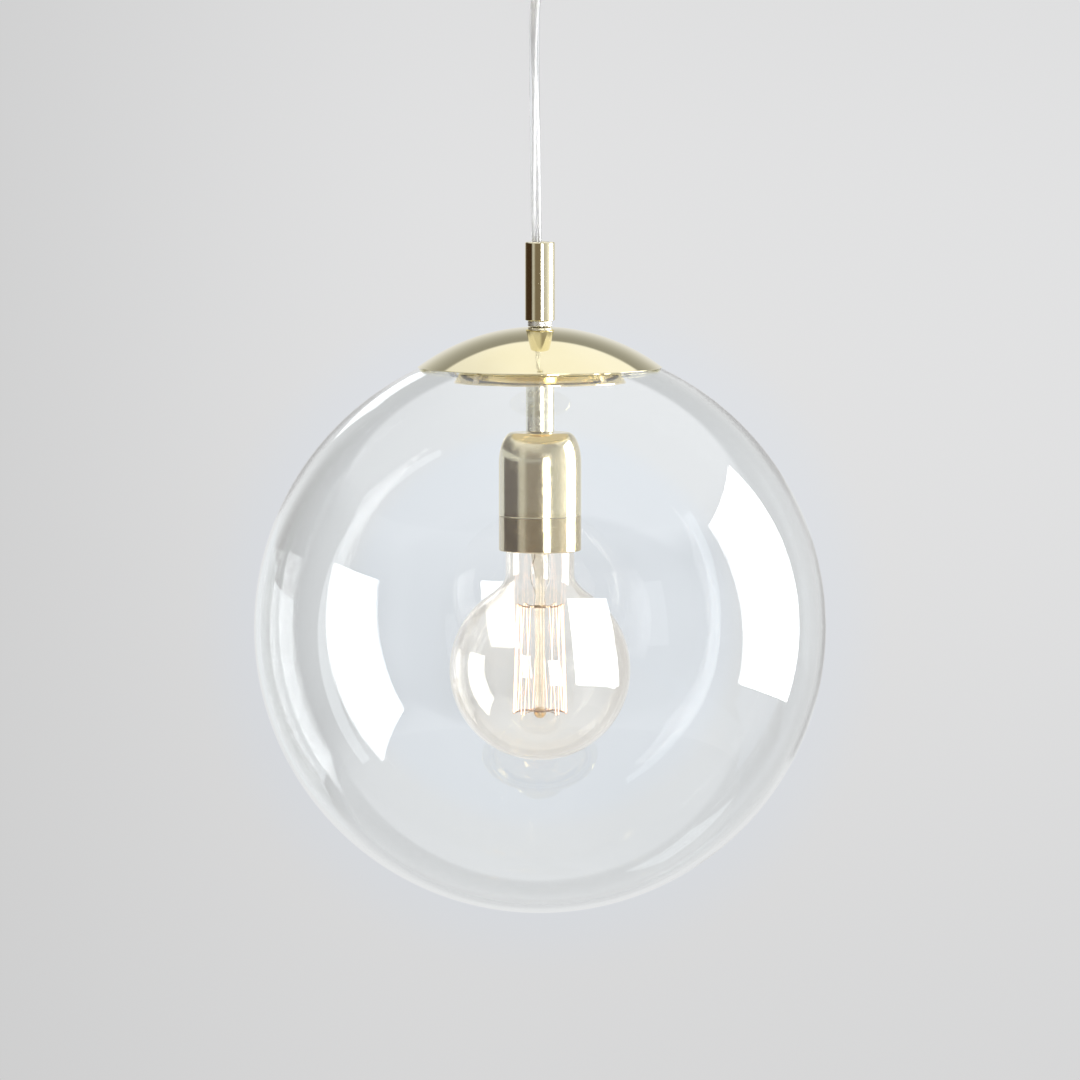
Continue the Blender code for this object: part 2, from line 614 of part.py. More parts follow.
def make_canopy():
    """Brass cup, the plate it hangs from, its two side screws and the terminal block."""
    bottom = CANOPY_BOTTOM
    top = CEILING_HEIGHT - 0.0005
    wall = CANOPY_WALL
    centre = CANOPY_RADIUS - CANOPY_CORNER
    outline = [(CANOPY_RADIUS, top)]
    outline += arc(centre, bottom + CANOPY_CORNER, CANOPY_CORNER, CANOPY_CORNER, 0, -90, 4)
    outline += [(GLAND_HOLE, bottom), (GLAND_HOLE, bottom + wall)]
    outline += arc(centre, bottom + CANOPY_CORNER, CANOPY_CORNER - wall, CANOPY_CORNER - wall, -90, 0, 4)
    outline += [(CANOPY_RADIUS - wall, top)]
    cup = turned("canopy_cup", outline, BRASS, 36)

    rim = CANOPY_RADIUS - wall - 0.0004
    low = CEILING_HEIGHT - PLATE_RIM_HEIGHT
    plate = turned("ceiling_plate", [
        (0.0, CEILING_HEIGHT), (rim, CEILING_HEIGHT), (rim, low), (rim - PLATE_WALL, low),
        (rim - PLATE_WALL, CEILING_HEIGHT - PLATE_WALL), (0.0, CEILING_HEIGHT - PLATE_WALL),
    ], STEEL, 36, solid=True)
    reach = 0.0090
    for side in (-1, 1):
        place = (side * PLATE_SCREW_OFFSET, 0.0, CEILING_HEIGHT)
        cut(plate, rod(f"plate_cutter_{side}", PLATE_SCREW_HOLE, reach, STEEL, place, "Z", 16, CUTTERS))
        place = (side * (CANOPY_RADIUS - 0.0025), 0.0, SCREW_HEIGHT)
        hole = rod(f"side_cutter_{side}", SCREW_HOLE, reach, STEEL, place, "X", 16, CUTTERS)
        cut(plate, hole)
        cut(cup, hole)
    place = (0.0, CABLE_OFFSET, CEILING_HEIGHT)
    cut(plate, rod("cable_cutter", CABLE_HOLE, reach, STEEL, place, "Z", 24, CUTTERS))

    for i, side in enumerate((1, -1)):
        screw = turned(f"canopy_screw_{i + 1}", [
            (0.0, 0.0022), (0.0020, 0.0018), (0.0030, 0.0006), (0.0030, 0.0), (0.0015, 0.0),
            (0.0015, -0.0062), (0.0, -0.0062),
        ], STEEL, 16, solid=True)
        screw.location = (side * (CANOPY_RADIUS + GAP), 0.0, SCREW_HEIGHT - CEILING_HEIGHT)
        screw.rotation_euler.y = side * pi / 2

    body = block("terminal_block", BLOCK_SIZE, NYLON, BLOCK_PLACE, bevel=0.0008)
    for side, name, look in ((-1, "live", CORE_BROWN), (1, "neutral", CORE_BLUE)):
        place = (side * 0.0060, -0.0050, 0.3755)
        cut(body, rod(f"entry_cutter_{side}", 0.0014, 0.0100, STEEL, place, "Y", 12, CUTTERS))
        route = [(side * 0.0012, 0.0, 0.3686), (side * 0.0014, 0.0008, 0.3706),
                 (side * 0.0028, 0.0026, 0.3728), (side * 0.0048, 0.0028, 0.3748),
                 (side * 0.0060, 0.0006, 0.3756), (side * 0.0060, -0.0040, 0.3755),
                 (side * 0.0060, -0.0085, 0.3755)]
        wire(f"{name}_core_top", smooth_through(route, 10), CORE_RADIUS, look)


make_globe()
make_cap()
make_gasket()
make_gallery()
make_catches()
make_grip()
make_axis_fittings()
make_holder()
make_holder_wiring()
make_bulb_shell()
make_bulb_inside()
make_cord()
make_gland()
make_canopy()
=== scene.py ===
"""Looks for the pendant ceiling light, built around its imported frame.

Everything is in metres, +Z up. Heights are measured up from the globe's centre, as the
globe, cap, holder and bulb are all turned about the light's vertical axis.
"""

import json
from math import asin, atan2, cos, degrees, pi, radians, sin, sqrt, tan

import bmesh
import bpy
from mathutils import Matrix, Vector, noise


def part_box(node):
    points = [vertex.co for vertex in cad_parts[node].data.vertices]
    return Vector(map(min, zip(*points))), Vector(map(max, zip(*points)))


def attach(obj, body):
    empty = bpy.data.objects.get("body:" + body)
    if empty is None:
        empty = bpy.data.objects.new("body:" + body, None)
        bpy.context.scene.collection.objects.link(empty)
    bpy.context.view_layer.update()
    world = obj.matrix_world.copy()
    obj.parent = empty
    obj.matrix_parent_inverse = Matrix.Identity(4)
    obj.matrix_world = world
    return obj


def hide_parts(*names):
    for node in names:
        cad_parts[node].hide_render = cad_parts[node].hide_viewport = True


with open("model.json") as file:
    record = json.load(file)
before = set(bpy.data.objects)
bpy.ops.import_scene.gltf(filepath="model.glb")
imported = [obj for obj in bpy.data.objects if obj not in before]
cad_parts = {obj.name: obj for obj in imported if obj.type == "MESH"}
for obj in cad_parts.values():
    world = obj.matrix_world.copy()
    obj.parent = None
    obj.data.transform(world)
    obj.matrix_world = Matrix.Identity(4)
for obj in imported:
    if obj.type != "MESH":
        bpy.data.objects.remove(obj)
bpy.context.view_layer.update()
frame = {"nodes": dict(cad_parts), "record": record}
NODES = frame["nodes"]
RECORD = frame["record"]
BODY_OF = {node: body for body, nodes in RECORD["behaviour"]["bodies"].items() for node in nodes}
SLOT_OF = {row["node"]: row["material_slot"] for row in RECORD["subparts"]}

# The globe, and the height of its centre in the frame.
GLOBE_RADIUS = 0.150
GLOBE_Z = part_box("glass_globe")[0].z + GLOBE_RADIUS


def top_of(node):
    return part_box(node)[1].z - GLOBE_Z


def bottom_of(node):
    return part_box(node)[0].z - GLOBE_Z


STEPS = 160
GAP = 0.0003
GLASS_WALL = 0.003
OPENING_RADIUS = 0.050
NIPPLE_RADIUS = 0.00485
NIPPLE_HOLE = NIPPLE_RADIUS + GAP

# Cord: the route is part.py's, as (sideways, height) points.
CORD_DIAMETER = 0.0053
PIVOT_HEIGHT = 0.352
CORD_ROUTE = [
    (-0.0018, 0.1800),
    (-0.0018, 0.1900),
    (-0.0018, 0.2060),
    (-0.0022, 0.2300),
    (-0.0026, 0.2600),
    (-0.0029, 0.2900),
    (-0.0028, 0.3150),
    (-0.0019, 0.3350),
    (-0.0006, 0.3480),
    (0.0000, PIVOT_HEIGHT),
    (0.0001, PIVOT_HEIGHT + 0.0022),
]


# ---------------------------------------------------------------- node helpers

class Look:
    """A Principled material and its node tree, with short calls for what the pieces share."""

    def __init__(self, name, colour, roughness, metallic=0.0, transmission=0.0, ior=1.5):
        self.material = bpy.data.materials.new(name)
        self.material.use_nodes = True
        self.tree = self.material.node_tree
        self.shader = self.tree.nodes["Principled BSDF"]
        self.set("Base Color", (*colour, 1.0))
        self.set("Roughness", roughness)
        self.set("Metallic", metallic)
        self.set("Transmission Weight", transmission)
        self.set("IOR", ior)
        self.place = self.node("TexCoord").outputs["Object"]

    def node(self, kind):
        return self.tree.nodes.new(f"ShaderNode{kind}")

    def link(self, output, target):
        self.tree.links.new(output, target)

    def set(self, socket, value):
        self.shader.inputs[socket].default_value = value

    def stretched(self, scale):
        """Object coordinates with a scale for each axis."""
        mapping = self.node("Mapping")
        mapping.inputs["Scale"].default_value = scale
        self.link(self.place, mapping.inputs["Vector"])
        return mapping.outputs["Vector"]

    def noise(self, scale, detail=3.0, where=None, distortion=0.0):
        made = self.node("TexNoise")
        made.inputs["Scale"].default_value = scale
        made.inputs["Detail"].default_value = detail
        made.inputs["Distortion"].default_value = distortion
        self.link(where or self.place, made.inputs["Vector"])
        return made.outputs["Fac"]

    def spread(self, value, low, high, start=0.35, end=0.65):
        """A value mapped from the range start..end to low..high."""
        made = self.node("MapRange")
        made.inputs["From Min"].default_value = start
        made.inputs["From Max"].default_value = end
        made.inputs["To Min"].default_value = low
        made.inputs["To Max"].default_value = high
        self.link(value, made.inputs["Value"])
        return made.outputs["Result"]

    def colours(self, value, *stops):
        """Base colour from a value, through (position, colour) stops."""
        ramp = self.node("ValToRGB")
        elements = ramp.color_ramp.elements
        while len(elements) < len(stops):
            elements.new(0.5)
        for element, (position, colour) in zip(elements, stops):
            element.position = position
            element.color = (*colour, 1.0)
        self.link(value, ramp.inputs["Fac"])
        self.link(ramp.outputs["Color"], self.shader.inputs["Base Color"])
        return ramp.outputs["Color"]

    def rough(self, value, low, high):
        self.link(self.spread(value, low, high), self.shader.inputs["Roughness"])

    def bump(self, value, strength, distance):
        made = self.node("Bump")
        made.inputs["Strength"].default_value = strength
        made.inputs["Distance"].default_value = distance
        before = self.shader.inputs["Normal"].links
        if before:
            self.link(before[0].from_socket, made.inputs["Normal"])
        self.link(value, made.inputs["Height"])
        self.link(made.outputs["Normal"], self.shader.inputs["Normal"])

    def absorb(self, colour, density):
        volume = self.node("VolumeAbsorption")
        volume.inputs["Color"].default_value = (*colour, 1.0)
        volume.inputs["Density"].default_value = density
        self.link(volume.outputs["Volume"], self.tree.nodes["Material Output"].inputs["Volume"])


# ---------------------------------------------------------------- materials

def polished_brass():
    """Mirror-polished, lacquered brass with a faint drift in tone and gloss."""
    look = Look("brass_polished", (0.90, 0.83, 0.56), 0.05, metallic=1.0)
    drift = look.noise(18.0, 3.0)
    look.colours(drift, (0.35, (0.89, 0.81, 0.53)), (0.65, (0.92, 0.85, 0.59)))
    look.rough(look.noise(60.0, 4.0), 0.035, 0.07)
    look.bump(look.noise(30.0, 2.0), 0.05, 0.0004)
    return look.material


def satin_brass(name="brass_satin", low=(0.84, 0.74, 0.49), high=(0.92, 0.84, 0.60), dull=0.14, grain=1.0):
    """Turned brass, polished across fine lathe lines, slightly mottled; grain scales its relief."""
    look = Look(name, high, dull, metallic=1.0)
    mottle = look.noise(900.0, 4.0)
    look.colours(mottle, (0.30, low), (0.70, high))
    look.rough(look.noise(260.0, 5.0), dull * 0.65, dull * 1.35)
    look.bump(look.noise(700.0, 3.0), 0.10 * grain, 0.0002)
    look.bump(look.noise(2.2, 2.0, look.stretched((1.0, 1.0, 2600.0))), 0.04 * grain, 0.0001)
    return look.material


def contact_brass():
    """Rolled contact brass, a little dull, with fine scratches."""
    look = Look("brass_contact", (0.78, 0.62, 0.32), 0.30, metallic=1.0)
    look.colours(look.noise(300.0, 4.0), (0.3, (0.66, 0.50, 0.25)), (0.7, (0.83, 0.68, 0.38)))
    look.rough(look.noise(500.0, 4.0), 0.24, 0.42)
    look.bump(look.noise(40.0, 3.0, look.stretched((1.0, 1.0, 60.0))), 0.12, 0.0002)
    return look.material


def steel():
    """Zinc-plated or nickelled steel, bright with a fine grain."""
    look = Look("steel_plated", (0.68, 0.68, 0.69), 0.22, metallic=1.0)
    look.colours(look.noise(240.0, 4.0), (0.3, (0.60, 0.60, 0.62)), (0.7, (0.76, 0.76, 0.76)))
    look.rough(look.noise(600.0, 4.0), 0.14, 0.32)
    look.bump(look.noise(900.0, 3.0), 0.08, 0.0002)
    return look.material


def bright_steel():
    """Bright nickelled steel of the ring nut, brushed round."""
    look = Look("steel_bright", (0.90, 0.90, 0.89), 0.30, metallic=0.85)
    look.colours(look.noise(200.0, 3.0), (0.3, (0.84, 0.84, 0.83)), (0.7, (0.93, 0.93, 0.92)))
    look.rough(look.noise(500.0, 3.0), 0.24, 0.38)
    look.bump(look.noise(4.0, 2.0, look.stretched((1.0, 1.0, 900.0))), 0.02, 0.0001)
    return look.material


def support_wire():
    """Dark heat-stained wire that holds the filament."""
    look = Look("wire_stained", (0.34, 0.25, 0.18), 0.45, metallic=0.8)
    look.colours(look.noise(400.0, 3.0), (0.3, (0.24, 0.17, 0.12)), (0.7, (0.46, 0.36, 0.27)))
    look.rough(look.noise(700.0, 2.0), 0.35, 0.55)
    return look.material


def amber_bead():
    """Amber glass bead that closes the end of the rod."""
    look = Look("bead_amber", (1.0, 0.78, 0.40), 0.10, transmission=0.5, ior=1.5)
    look.colours(look.noise(500.0, 2.0), (0.3, (1.0, 0.70, 0.32)), (0.7, (1.0, 0.84, 0.52)))
    look.rough(look.noise(900.0, 2.0), 0.06, 0.16)
    return look.material


def shade_glass():
    """Clear blown glass: a trace of sea green in its depth and slow waves in its surface."""
    look = Look("glass_blown", (1.0, 1.0, 1.0), 0.0, transmission=1.0, ior=1.5)
    look.bump(look.noise(9.0, 1.0), 0.10, 0.004)
    look.absorb((0.40, 0.76, 0.82), 7.0)
    return look.material


def bulb_glass():
    """Thin lamp glass with a faint warm smoke to it, and a painted warm glow that stands in for the
    filament's light scattered in it.
    """
    look = Look("glass_bulb", (1.0, 0.985, 0.955), 0.0, transmission=1.0, ior=1.5)
    drift = look.noise(30.0, 2.0)
    look.colours(drift, (0.35, (1.0, 0.988, 0.962)), (0.65, (0.998, 0.980, 0.948)))
    # Painted glow: a faint warm emission standing in for the filament's light scattered in the glass, not a
    # lamp of its own.
    look.set("Emission Color", (1.0, 0.80, 0.62, 1.0))
    look.set("Emission Strength", 0.018)
    look.bump(look.noise(26.0, 1.0), 0.06, 0.002)
    return look.material


def stem_glass():
    """Thicker pressed glass of the bulb's stem, with drawn ripples, and a painted glow for the filament's
    light on it, stronger low down.
    """
    look = Look("glass_stem", (0.98, 0.95, 0.87), 0.05, transmission=0.80, ior=1.52)
    ripple = look.noise(3.0, 2.0, look.stretched((60.0, 60.0, 320.0)))
    look.colours(ripple, (0.35, (0.98, 0.955, 0.88)), (0.65, (0.94, 0.90, 0.80)))
    look.bump(ripple, 0.20, 0.0005)
    # Painted glow: emission standing in for the filament's light on the stem, stronger low down towards the
    # filament.
    look.set("Emission Color", (1.0, 0.93, 0.80, 1.0))
    height = look.node("SeparateXYZ")
    look.link(look.place, height.inputs["Vector"])
    glow = look.spread(height.outputs["Z"], low=0.05, high=0.01, start=0.018, end=0.028)
    look.link(glow, look.shader.inputs["Emission Strength"])
    return look.material


def glowing_filament():
    """Filament wire at a low, warm heat, a little brighter in places."""
    look = Look("filament_hot", (0.30, 0.20, 0.14), 0.6)
    ramp = look.colours(look.noise(120.0, 2.0), (0.3, (1.0, 0.60, 0.40)), (0.7, (1.0, 0.66, 0.46)))
    look.link(ramp, look.shader.inputs["Emission Color"])
    look.set("Emission Strength", 2.6)
    return look.material


def clear_sheath():
    """Clear cord sheath, slightly cloudy and a little uneven."""
    look = Look("sheath_clear", (0.97, 0.975, 0.98), 0.08, transmission=1.0, ior=1.38)
    cloud = look.noise(160.0, 3.0)
    look.colours(cloud, (0.3, (0.955, 0.960, 0.968)), (0.7, (0.985, 0.988, 0.992)))
    look.rough(cloud, 0.05, 0.14)
    look.bump(look.noise(220.0, 2.0), 0.08, 0.0004)
    return look.material


def silver_braid():
    """Tinned strands of the cord's cores, seen through the clear sheath."""
    look = Look("strands_tinned", (0.96, 0.96, 0.97), 0.35, metallic=0.25)
    strands = look.noise(30.0, 2.0, look.stretched((60.0, 60.0, 6.0)))
    look.colours(strands, (0.30, (0.88, 0.88, 0.89)), (0.60, (0.99, 0.99, 0.99)))
    look.rough(strands, 0.28, 0.45)
    look.bump(strands, 0.12, 0.0002)
    return look.material


def plastic(name, colour, roughness, tone=0.06):
    """Moulded plastic or glazed ceramic: slight tone drift and a fine skin."""
    look = Look(name, colour, roughness)
    low = tuple(c * (1 - tone) for c in colour)
    high = tuple(min(1.0, c * (1 + tone)) for c in colour)
    look.colours(look.noise(140.0, 4.0), (0.3, low), (0.7, high))
    look.rough(look.noise(400.0, 3.0), roughness * 0.8, roughness * 1.2)
    look.bump(look.noise(1200.0, 2.0), 0.08, 0.0002)
    return look.material


def soft_clear():
    """Clear silicone of the gasket and the washer."""
    look = Look("silicone_clear", (0.90, 0.91, 0.91), 0.35, transmission=0.7, ior=1.41)
    look.colours(look.noise(200.0, 3.0), (0.3, (0.86, 0.87, 0.87)), (0.7, (0.94, 0.95, 0.95)))
    look.rough(look.noise(500.0, 3.0), 0.28, 0.45)
    look.bump(look.noise(800.0, 2.0), 0.10, 0.0003)
    return look.material


LOOKS = {
    "polished_brass": polished_brass(),
    "satin_brass": satin_brass(),
    "bright_brass": satin_brass("brass_bright", (0.88, 0.80, 0.55), (0.93, 0.87, 0.63), 0.07, 0.6),
    "shell_brass": satin_brass("brass_shell", (0.70, 0.59, 0.38), (0.80, 0.70, 0.48), 0.13),
    # Drum brass: its own brass tone, made brighter and warmer than the other brass as painted warm light from
    # the glowing filament.
    "warm_brass": satin_brass("brass_lit_warm", (0.95, 0.80, 0.50), (0.99, 0.87, 0.60), 0.10, 0.10),
    "pale_brass": satin_brass("brass_pale", (0.93, 0.88, 0.68), (0.98, 0.94, 0.79), 0.24, 0.45),
    "support_wire": support_wire(),
    "contact_brass": contact_brass(),
    "zinc_steel": steel(),
    "bright_steel": bright_steel(),
    "shade_glass": shade_glass(),
    "bulb_glass": bulb_glass(),
    "stem_glass": stem_glass(),
    "amber": amber_bead(),
    "filament": glowing_filament(),
    "clear_sheath": clear_sheath(),
    "strands": silver_braid(),
    "live_insulation": plastic("insulation_brown", (0.24, 0.11, 0.06), 0.38),
    "neutral_insulation": plastic("insulation_blue", (0.07, 0.20, 0.52), 0.38),
    "white_nylon": plastic("nylon_white", (0.84, 0.84, 0.81), 0.42),
    "holder_ceramic": plastic("ceramic_glazed", (0.88, 0.87, 0.83), 0.22, 0.03),
    "clear_silicone": soft_clear(),
    "black_insulator": plastic("insulator_black", (0.020, 0.020, 0.026), 0.18),
}


# ---------------------------------------------------------------- mesh helpers

def fillet(points, segments=6):
    """An outline whose corners are rounded. Each point is (radius, height, corner radius)."""
    count = len(points)
    result = []
    for i, (x, y, size) in enumerate(points):
        corner = Vector((x, y))
        before = Vector(points[i - 1][:2]) - corner
        after = Vector(points[(i + 1) % count][:2]) - corner
        if not size or before.length < 1e-9 or after.length < 1e-9:
            result.append((x, y))
            continue
        half = before.angle(after) / 2
        reach = min(size / tan(half), before.length * 0.49, after.length * 0.49)
        radius = reach * tan(half)
        start = corner + before.normalized() * reach
        end = corner + after.normalized() * reach
        middle = corner + (before.normalized() + after.normalized()).normalized() * radius / sin(half)
        a0 = atan2(*(start - middle).yx)
        turn = (atan2(*(end - middle).yx) - a0 + pi) % (2 * pi) - pi
        for k in range(segments + 1):
            angle = a0 + turn * k / segments
            result.append((middle.x + radius * cos(angle), middle.y + radius * sin(angle)))
    return result


def arc(centre_x, centre_y, radius_x, radius_y, start, end, count):
    """Points on an ellipse, by angle in degrees from its X axis."""
    angles = [radians(start + (end - start) * i / (count - 1)) for i in range(count)]
    return [(centre_x + radius_x * cos(a), centre_y + radius_y * sin(a)) for a in angles]


def braced(outline, solid, reach=0.0002, longest=0.0012):
    """The outline with a point close to each end of its long runs, so that they shade flat."""
    result = []
    following = outline[1:] + ([] if solid else outline[:1])
    for point, after in zip(outline, following):
        result.append(point)
        run = Vector(after) - Vector(point)
        if run.length > longest:
            step = run.normalized() * reach
            result += [tuple(Vector(point) + step), tuple(Vector(after) - step)]
    if solid:
        result.append(outline[-1])
    return result


def new_object(name, mesh, look, smooth_angle=40):
    """A mesh object at the globe's centre, smooth but for edges sharper than the angle."""
    mesh.materials.append(LOOKS[look])
    mesh.shade_smooth()
    if smooth_angle:
        mesh.set_sharp_from_angle(angle=radians(smooth_angle))
    made = bpy.data.objects.new(name, mesh)
    made.location.z = GLOBE_Z
    bpy.context.scene.collection.objects.link(made)
    return made


def turned(name, outline, look, steps=STEPS, solid=False, smooth_angle=40, shape=None):
    """A turned piece. A solid outline starts and ends on the axis; any other is closed.

    shape, where given, maps (radius, angle, height) to a new radius, for threads and waves.
    """
    surface = bmesh.new()
    rings = []
    if not shape and smooth_angle:
        outline = braced(outline, solid)
    for radius, height in outline:
        if radius < 1e-7:
            rings.append([surface.verts.new((0.0, 0.0, height))])
            continue
        ring = []
        for k in range(steps):
            angle = 2 * pi * k / steps
            r = shape(radius, angle, height) if shape else radius
            ring.append(surface.verts.new((r * cos(angle), r * sin(angle), height)))
        rings.append(ring)
    pairs = list(zip(rings, rings[1:]))
    if not solid:
        pairs.append((rings[-1], rings[0]))
    for first, second in pairs:
        for k in range(steps):
            after = (k + 1) % steps
            corners = [first[k % len(first)], second[k % len(second)],
                       second[after % len(second)], first[after % len(first)]]
            unique = list(dict.fromkeys(corners))
            if len(unique) > 2:
                surface.faces.new(unique)
    bmesh.ops.recalc_face_normals(surface, faces=surface.faces)
    mesh = bpy.data.meshes.new(name)
    surface.to_mesh(mesh)
    surface.free()
    return new_object(name, mesh, look, smooth_angle)


def wire(name, points, radius, look, sides=6, smooth=True):
    """A round wire through (x, y, height) points."""
    curve = bpy.data.curves.new(name, "CURVE")
    curve.dimensions = "3D"
    curve.bevel_depth = radius
    curve.bevel_resolution = sides
    curve.use_fill_caps = True
    curve.resolution_u = 8
    spline = curve.splines.new("BEZIER" if smooth else "POLY")
    if smooth:
        spline.bezier_points.add(len(points) - 1)
        for point, place in zip(spline.bezier_points, points):
            point.co = place
            point.handle_left_type = "AUTO"
            point.handle_right_type = "AUTO"
    else:
        spline.points.add(len(points) - 1)
        for point, place in zip(spline.points, points):
            point.co = (*place, 1.0)
    curve.materials.append(LOOKS[look])
    made = bpy.data.objects.new(name, curve)
    made.location.z = GLOBE_Z
    bpy.context.scene.collection.objects.link(made)
    return made


def as_mesh(piece):
    """A curve piece made into a mesh with the same name, with its caps welded."""
    bpy.context.view_layer.update()
    mesh = bpy.data.meshes.new_from_object(piece.evaluated_get(bpy.context.evaluated_depsgraph_get()))
    surface = bmesh.new()
    surface.from_mesh(mesh)
    bmesh.ops.remove_doubles(surface, verts=surface.verts, dist=0.00001)
    bmesh.ops.recalc_face_normals(surface, faces=surface.faces)
    surface.to_mesh(mesh)
    surface.free()
    name, place = piece.name, piece.location.copy()
    bpy.data.objects.remove(piece)
    mesh.shade_smooth()
    mesh.set_sharp_from_angle(angle=radians(50))
    made = bpy.data.objects.new(name, mesh)
    made.location = place
    bpy.context.scene.collection.objects.link(made)
    return made


def join(name, pieces):
    """Several mesh pieces made into one."""
    surface = bmesh.new()
    for piece in pieces:
        before = len(surface.verts)
        surface.from_mesh(piece.data)
        surface.verts.ensure_lookup_table()
        bmesh.ops.transform(surface, matrix=piece.matrix_world, verts=surface.verts[before:])
    look = pieces[0].data.materials[0]
    mesh = bpy.data.meshes.new(name)
    surface.to_mesh(mesh)
    surface.free()
    for piece in pieces:
        bpy.data.objects.remove(piece)
    mesh.materials.append(look)
    made = bpy.data.objects.new(name, mesh)
    bpy.context.scene.collection.objects.link(made)
    return made


def stand_for(piece, node):
    """A piece takes the place of a CAD node: its body and its space."""
    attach(piece, BODY_OF[node])
    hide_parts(node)
    return piece


def smooth_through(points, count):
    """A smooth curve through the points, as evenly parametered points."""
    vectors = [Vector(point) for point in points]
    last = len(vectors) - 1
    result = []
    for i in range(count):
        place = i / (count - 1) * last
        k = min(int(place), last - 1)
        t = place - k
        p0, p1, p2, p3 = (vectors[min(max(k + j, 0), last)] for j in (-1, 0, 1, 2))
        result.append(0.5 * (2 * p1 + (p2 - p0) * t + (2 * p0 - 5 * p1 + 4 * p2 - p3) * t ** 2
                             + (3 * p1 - p0 - 3 * p2 + p3) * t ** 3))
    return result


# ---------------------------------------------------------------- camera and cord

CAMERA_DISTANCE = 3.75
CAMERA_ELEVATION = radians(4.7)
CAMERA_AIM = 0.0458
CAMERA_LENS = 238.3


def make_camera():
    data = bpy.data.cameras.new("camera")
    data.lens = CAMERA_LENS
    data.sensor_width = 36.0
    camera = bpy.data.objects.new("camera", data)
    bpy.context.scene.collection.objects.link(camera)
    aim = Vector((0.0, 0.0, GLOBE_Z + CAMERA_AIM))
    back = Vector((0.0, -cos(CAMERA_ELEVATION), sin(CAMERA_ELEVATION)))
    camera.location = aim + back * CAMERA_DISTANCE
    camera.rotation_euler = (pi / 2 - CAMERA_ELEVATION, 0.0, 0.0)
    bpy.context.scene.camera = camera


def make_cord():
    """Clear sheath over two twisted cores, from inside the grip to the ceiling fitting."""
    pitch, offset, core_radius = 0.30, 0.00100, 0.00092
    route = smooth_through([(x, 0.0, height) for x, height in CORD_ROUTE], 41)
    sheath = wire("cord_sheath", route, CORD_DIAMETER / 2, "clear_sheath", sides=8)
    stand_for(sheath, "cord")
    for side, name in ((0.0, "cord_core_1"), (pi, "cord_core_2")):
        points = []
        for point in smooth_through([(x, 0.0, height) for x, height in CORD_ROUTE], 81):
            angle = side - 0.75 + 2 * pi * (point.z - CORD_ROUTE[0][1]) / pitch
            points.append(point + Vector((offset * cos(angle), offset * sin(angle), 0.0)))
        core = wire(name, points, core_radius, "strands", sides=4)
        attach(core, "lamp")


# ---------------------------------------------------------------- globe, cap and gallery

SLOW_WAVES, SLOW_DEPTH = 22.0, 0.00004
FINE_WAVES, FINE_DEPTH = 70.0, 0.00006
FINE_START, FINE_RISE = 0.118, 0.020


def make_globe():
    """Blown glass shell with a fire-polished opening."""
    inner = GLOBE_RADIUS - GLASS_WALL
    lip = 0.0022
    edge = OPENING_RADIUS + lip
    outer_angle = degrees(asin(edge / GLOBE_RADIUS))
    inner_angle = degrees(asin(edge / inner))
    up_inside = arc(0, 0, inner, inner, -90, 90 - inner_angle, 90)
    up_inside[0] = (0.0, -inner)
    start = Vector(up_inside[-1])
    end = Vector((edge, GLOBE_RADIUS * cos(radians(outer_angle))))
    middle = (start + end) / 2
    half = (end - start).length / 2
    across = Vector((-1.0, -0.33)).normalized()
    rise = (end - start).normalized()
    lips = []
    for k in range(1, 10):
        angle = pi * k / 10
        lips.append(tuple(middle - rise * half * cos(angle) + across * lip * sin(angle)))
    down_outside = arc(0, 0, GLOBE_RADIUS, GLOBE_RADIUS, 90 - outer_angle, -90, 90)
    down_outside[-1] = (0.0, -GLOBE_RADIUS)

    def blown(radius, angle, height):
        """Slow waves everywhere, and uneven thickness inside towards the opening."""
        place = Vector((cos(angle) * radius, sin(angle) * radius, height))
        wave = noise.noise(place * SLOW_WAVES) * SLOW_DEPTH
        if place.length < inner + 0.0005:
            near = max(0.0, (height - FINE_START) / FINE_RISE)
            wave += noise.noise(place * FINE_WAVES) * FINE_DEPTH * min(1.0, near)
        return radius + wave

    outline = up_inside + lips + down_outside
    globe = turned("shade_globe", outline, "shade_glass", 192, solid=True, smooth_angle=0, shape=blown)
    stand_for(globe, "glass_globe")


CAP_RADIUS = 0.064
CAP_CURVE = 0.1068
CAP_CURVE_HEIGHT = 0.0511
CAP_WALL = 0.0008
RIM_INSET = 0.0003
RIM_ROLL = 0.0004


def cap_height(radius, inset=0.0):
    return CAP_CURVE_HEIGHT + sqrt((CAP_CURVE - inset) ** 2 - radius ** 2)


def make_cap():
    """Spun brass dome with a rolled rim, and the soft ring between it and the glass."""
    hole = NIPPLE_HOLE
    rim_bottom = bottom_of("dome_cap")
    inner_radius = sqrt((CAP_CURVE - CAP_WALL) ** 2 - (rim_bottom - CAP_CURVE_HEIGHT) ** 2)
    count = 60
    outer = [hole + (CAP_RADIUS - RIM_INSET - hole) * i / (count - 1) for i in range(count)]
    inner = [hole + (inner_radius - hole) * i / (count - 1) for i in range(count)]
    rim_top = cap_height(CAP_RADIUS - RIM_INSET)
    middle, half = (rim_top + rim_bottom) / 2, (rim_top - rim_bottom) / 2
    rim = arc(CAP_RADIUS - RIM_ROLL, middle, RIM_ROLL, half, 70, -80, 7)
    outline = [(r, cap_height(r)) for r in outer] + rim
    outline += [(r, cap_height(r, CAP_WALL)) for r in reversed(inner)]
    cap = turned("cap_dome", outline, "polished_brass", 192, smooth_angle=50)
    stand_for(cap, "dome_cap")

    inner, outer, corner = 0.0530, 0.0570, 0.0004
    top_in, top_out = (cap_height(r, CAP_WALL) - GAP for r in (inner, outer))
    low_in, low_out = (sqrt(GLOBE_RADIUS ** 2 - r ** 2) + GAP for r in (inner, outer))
    outline = fillet([(inner, top_in, corner), (outer, top_out, corner), (outer, low_out, corner),
                      (inner, low_in, corner)], 4)
    stand_for(turned("cap_gasket", outline, "clear_silicone"), "shade_gasket")


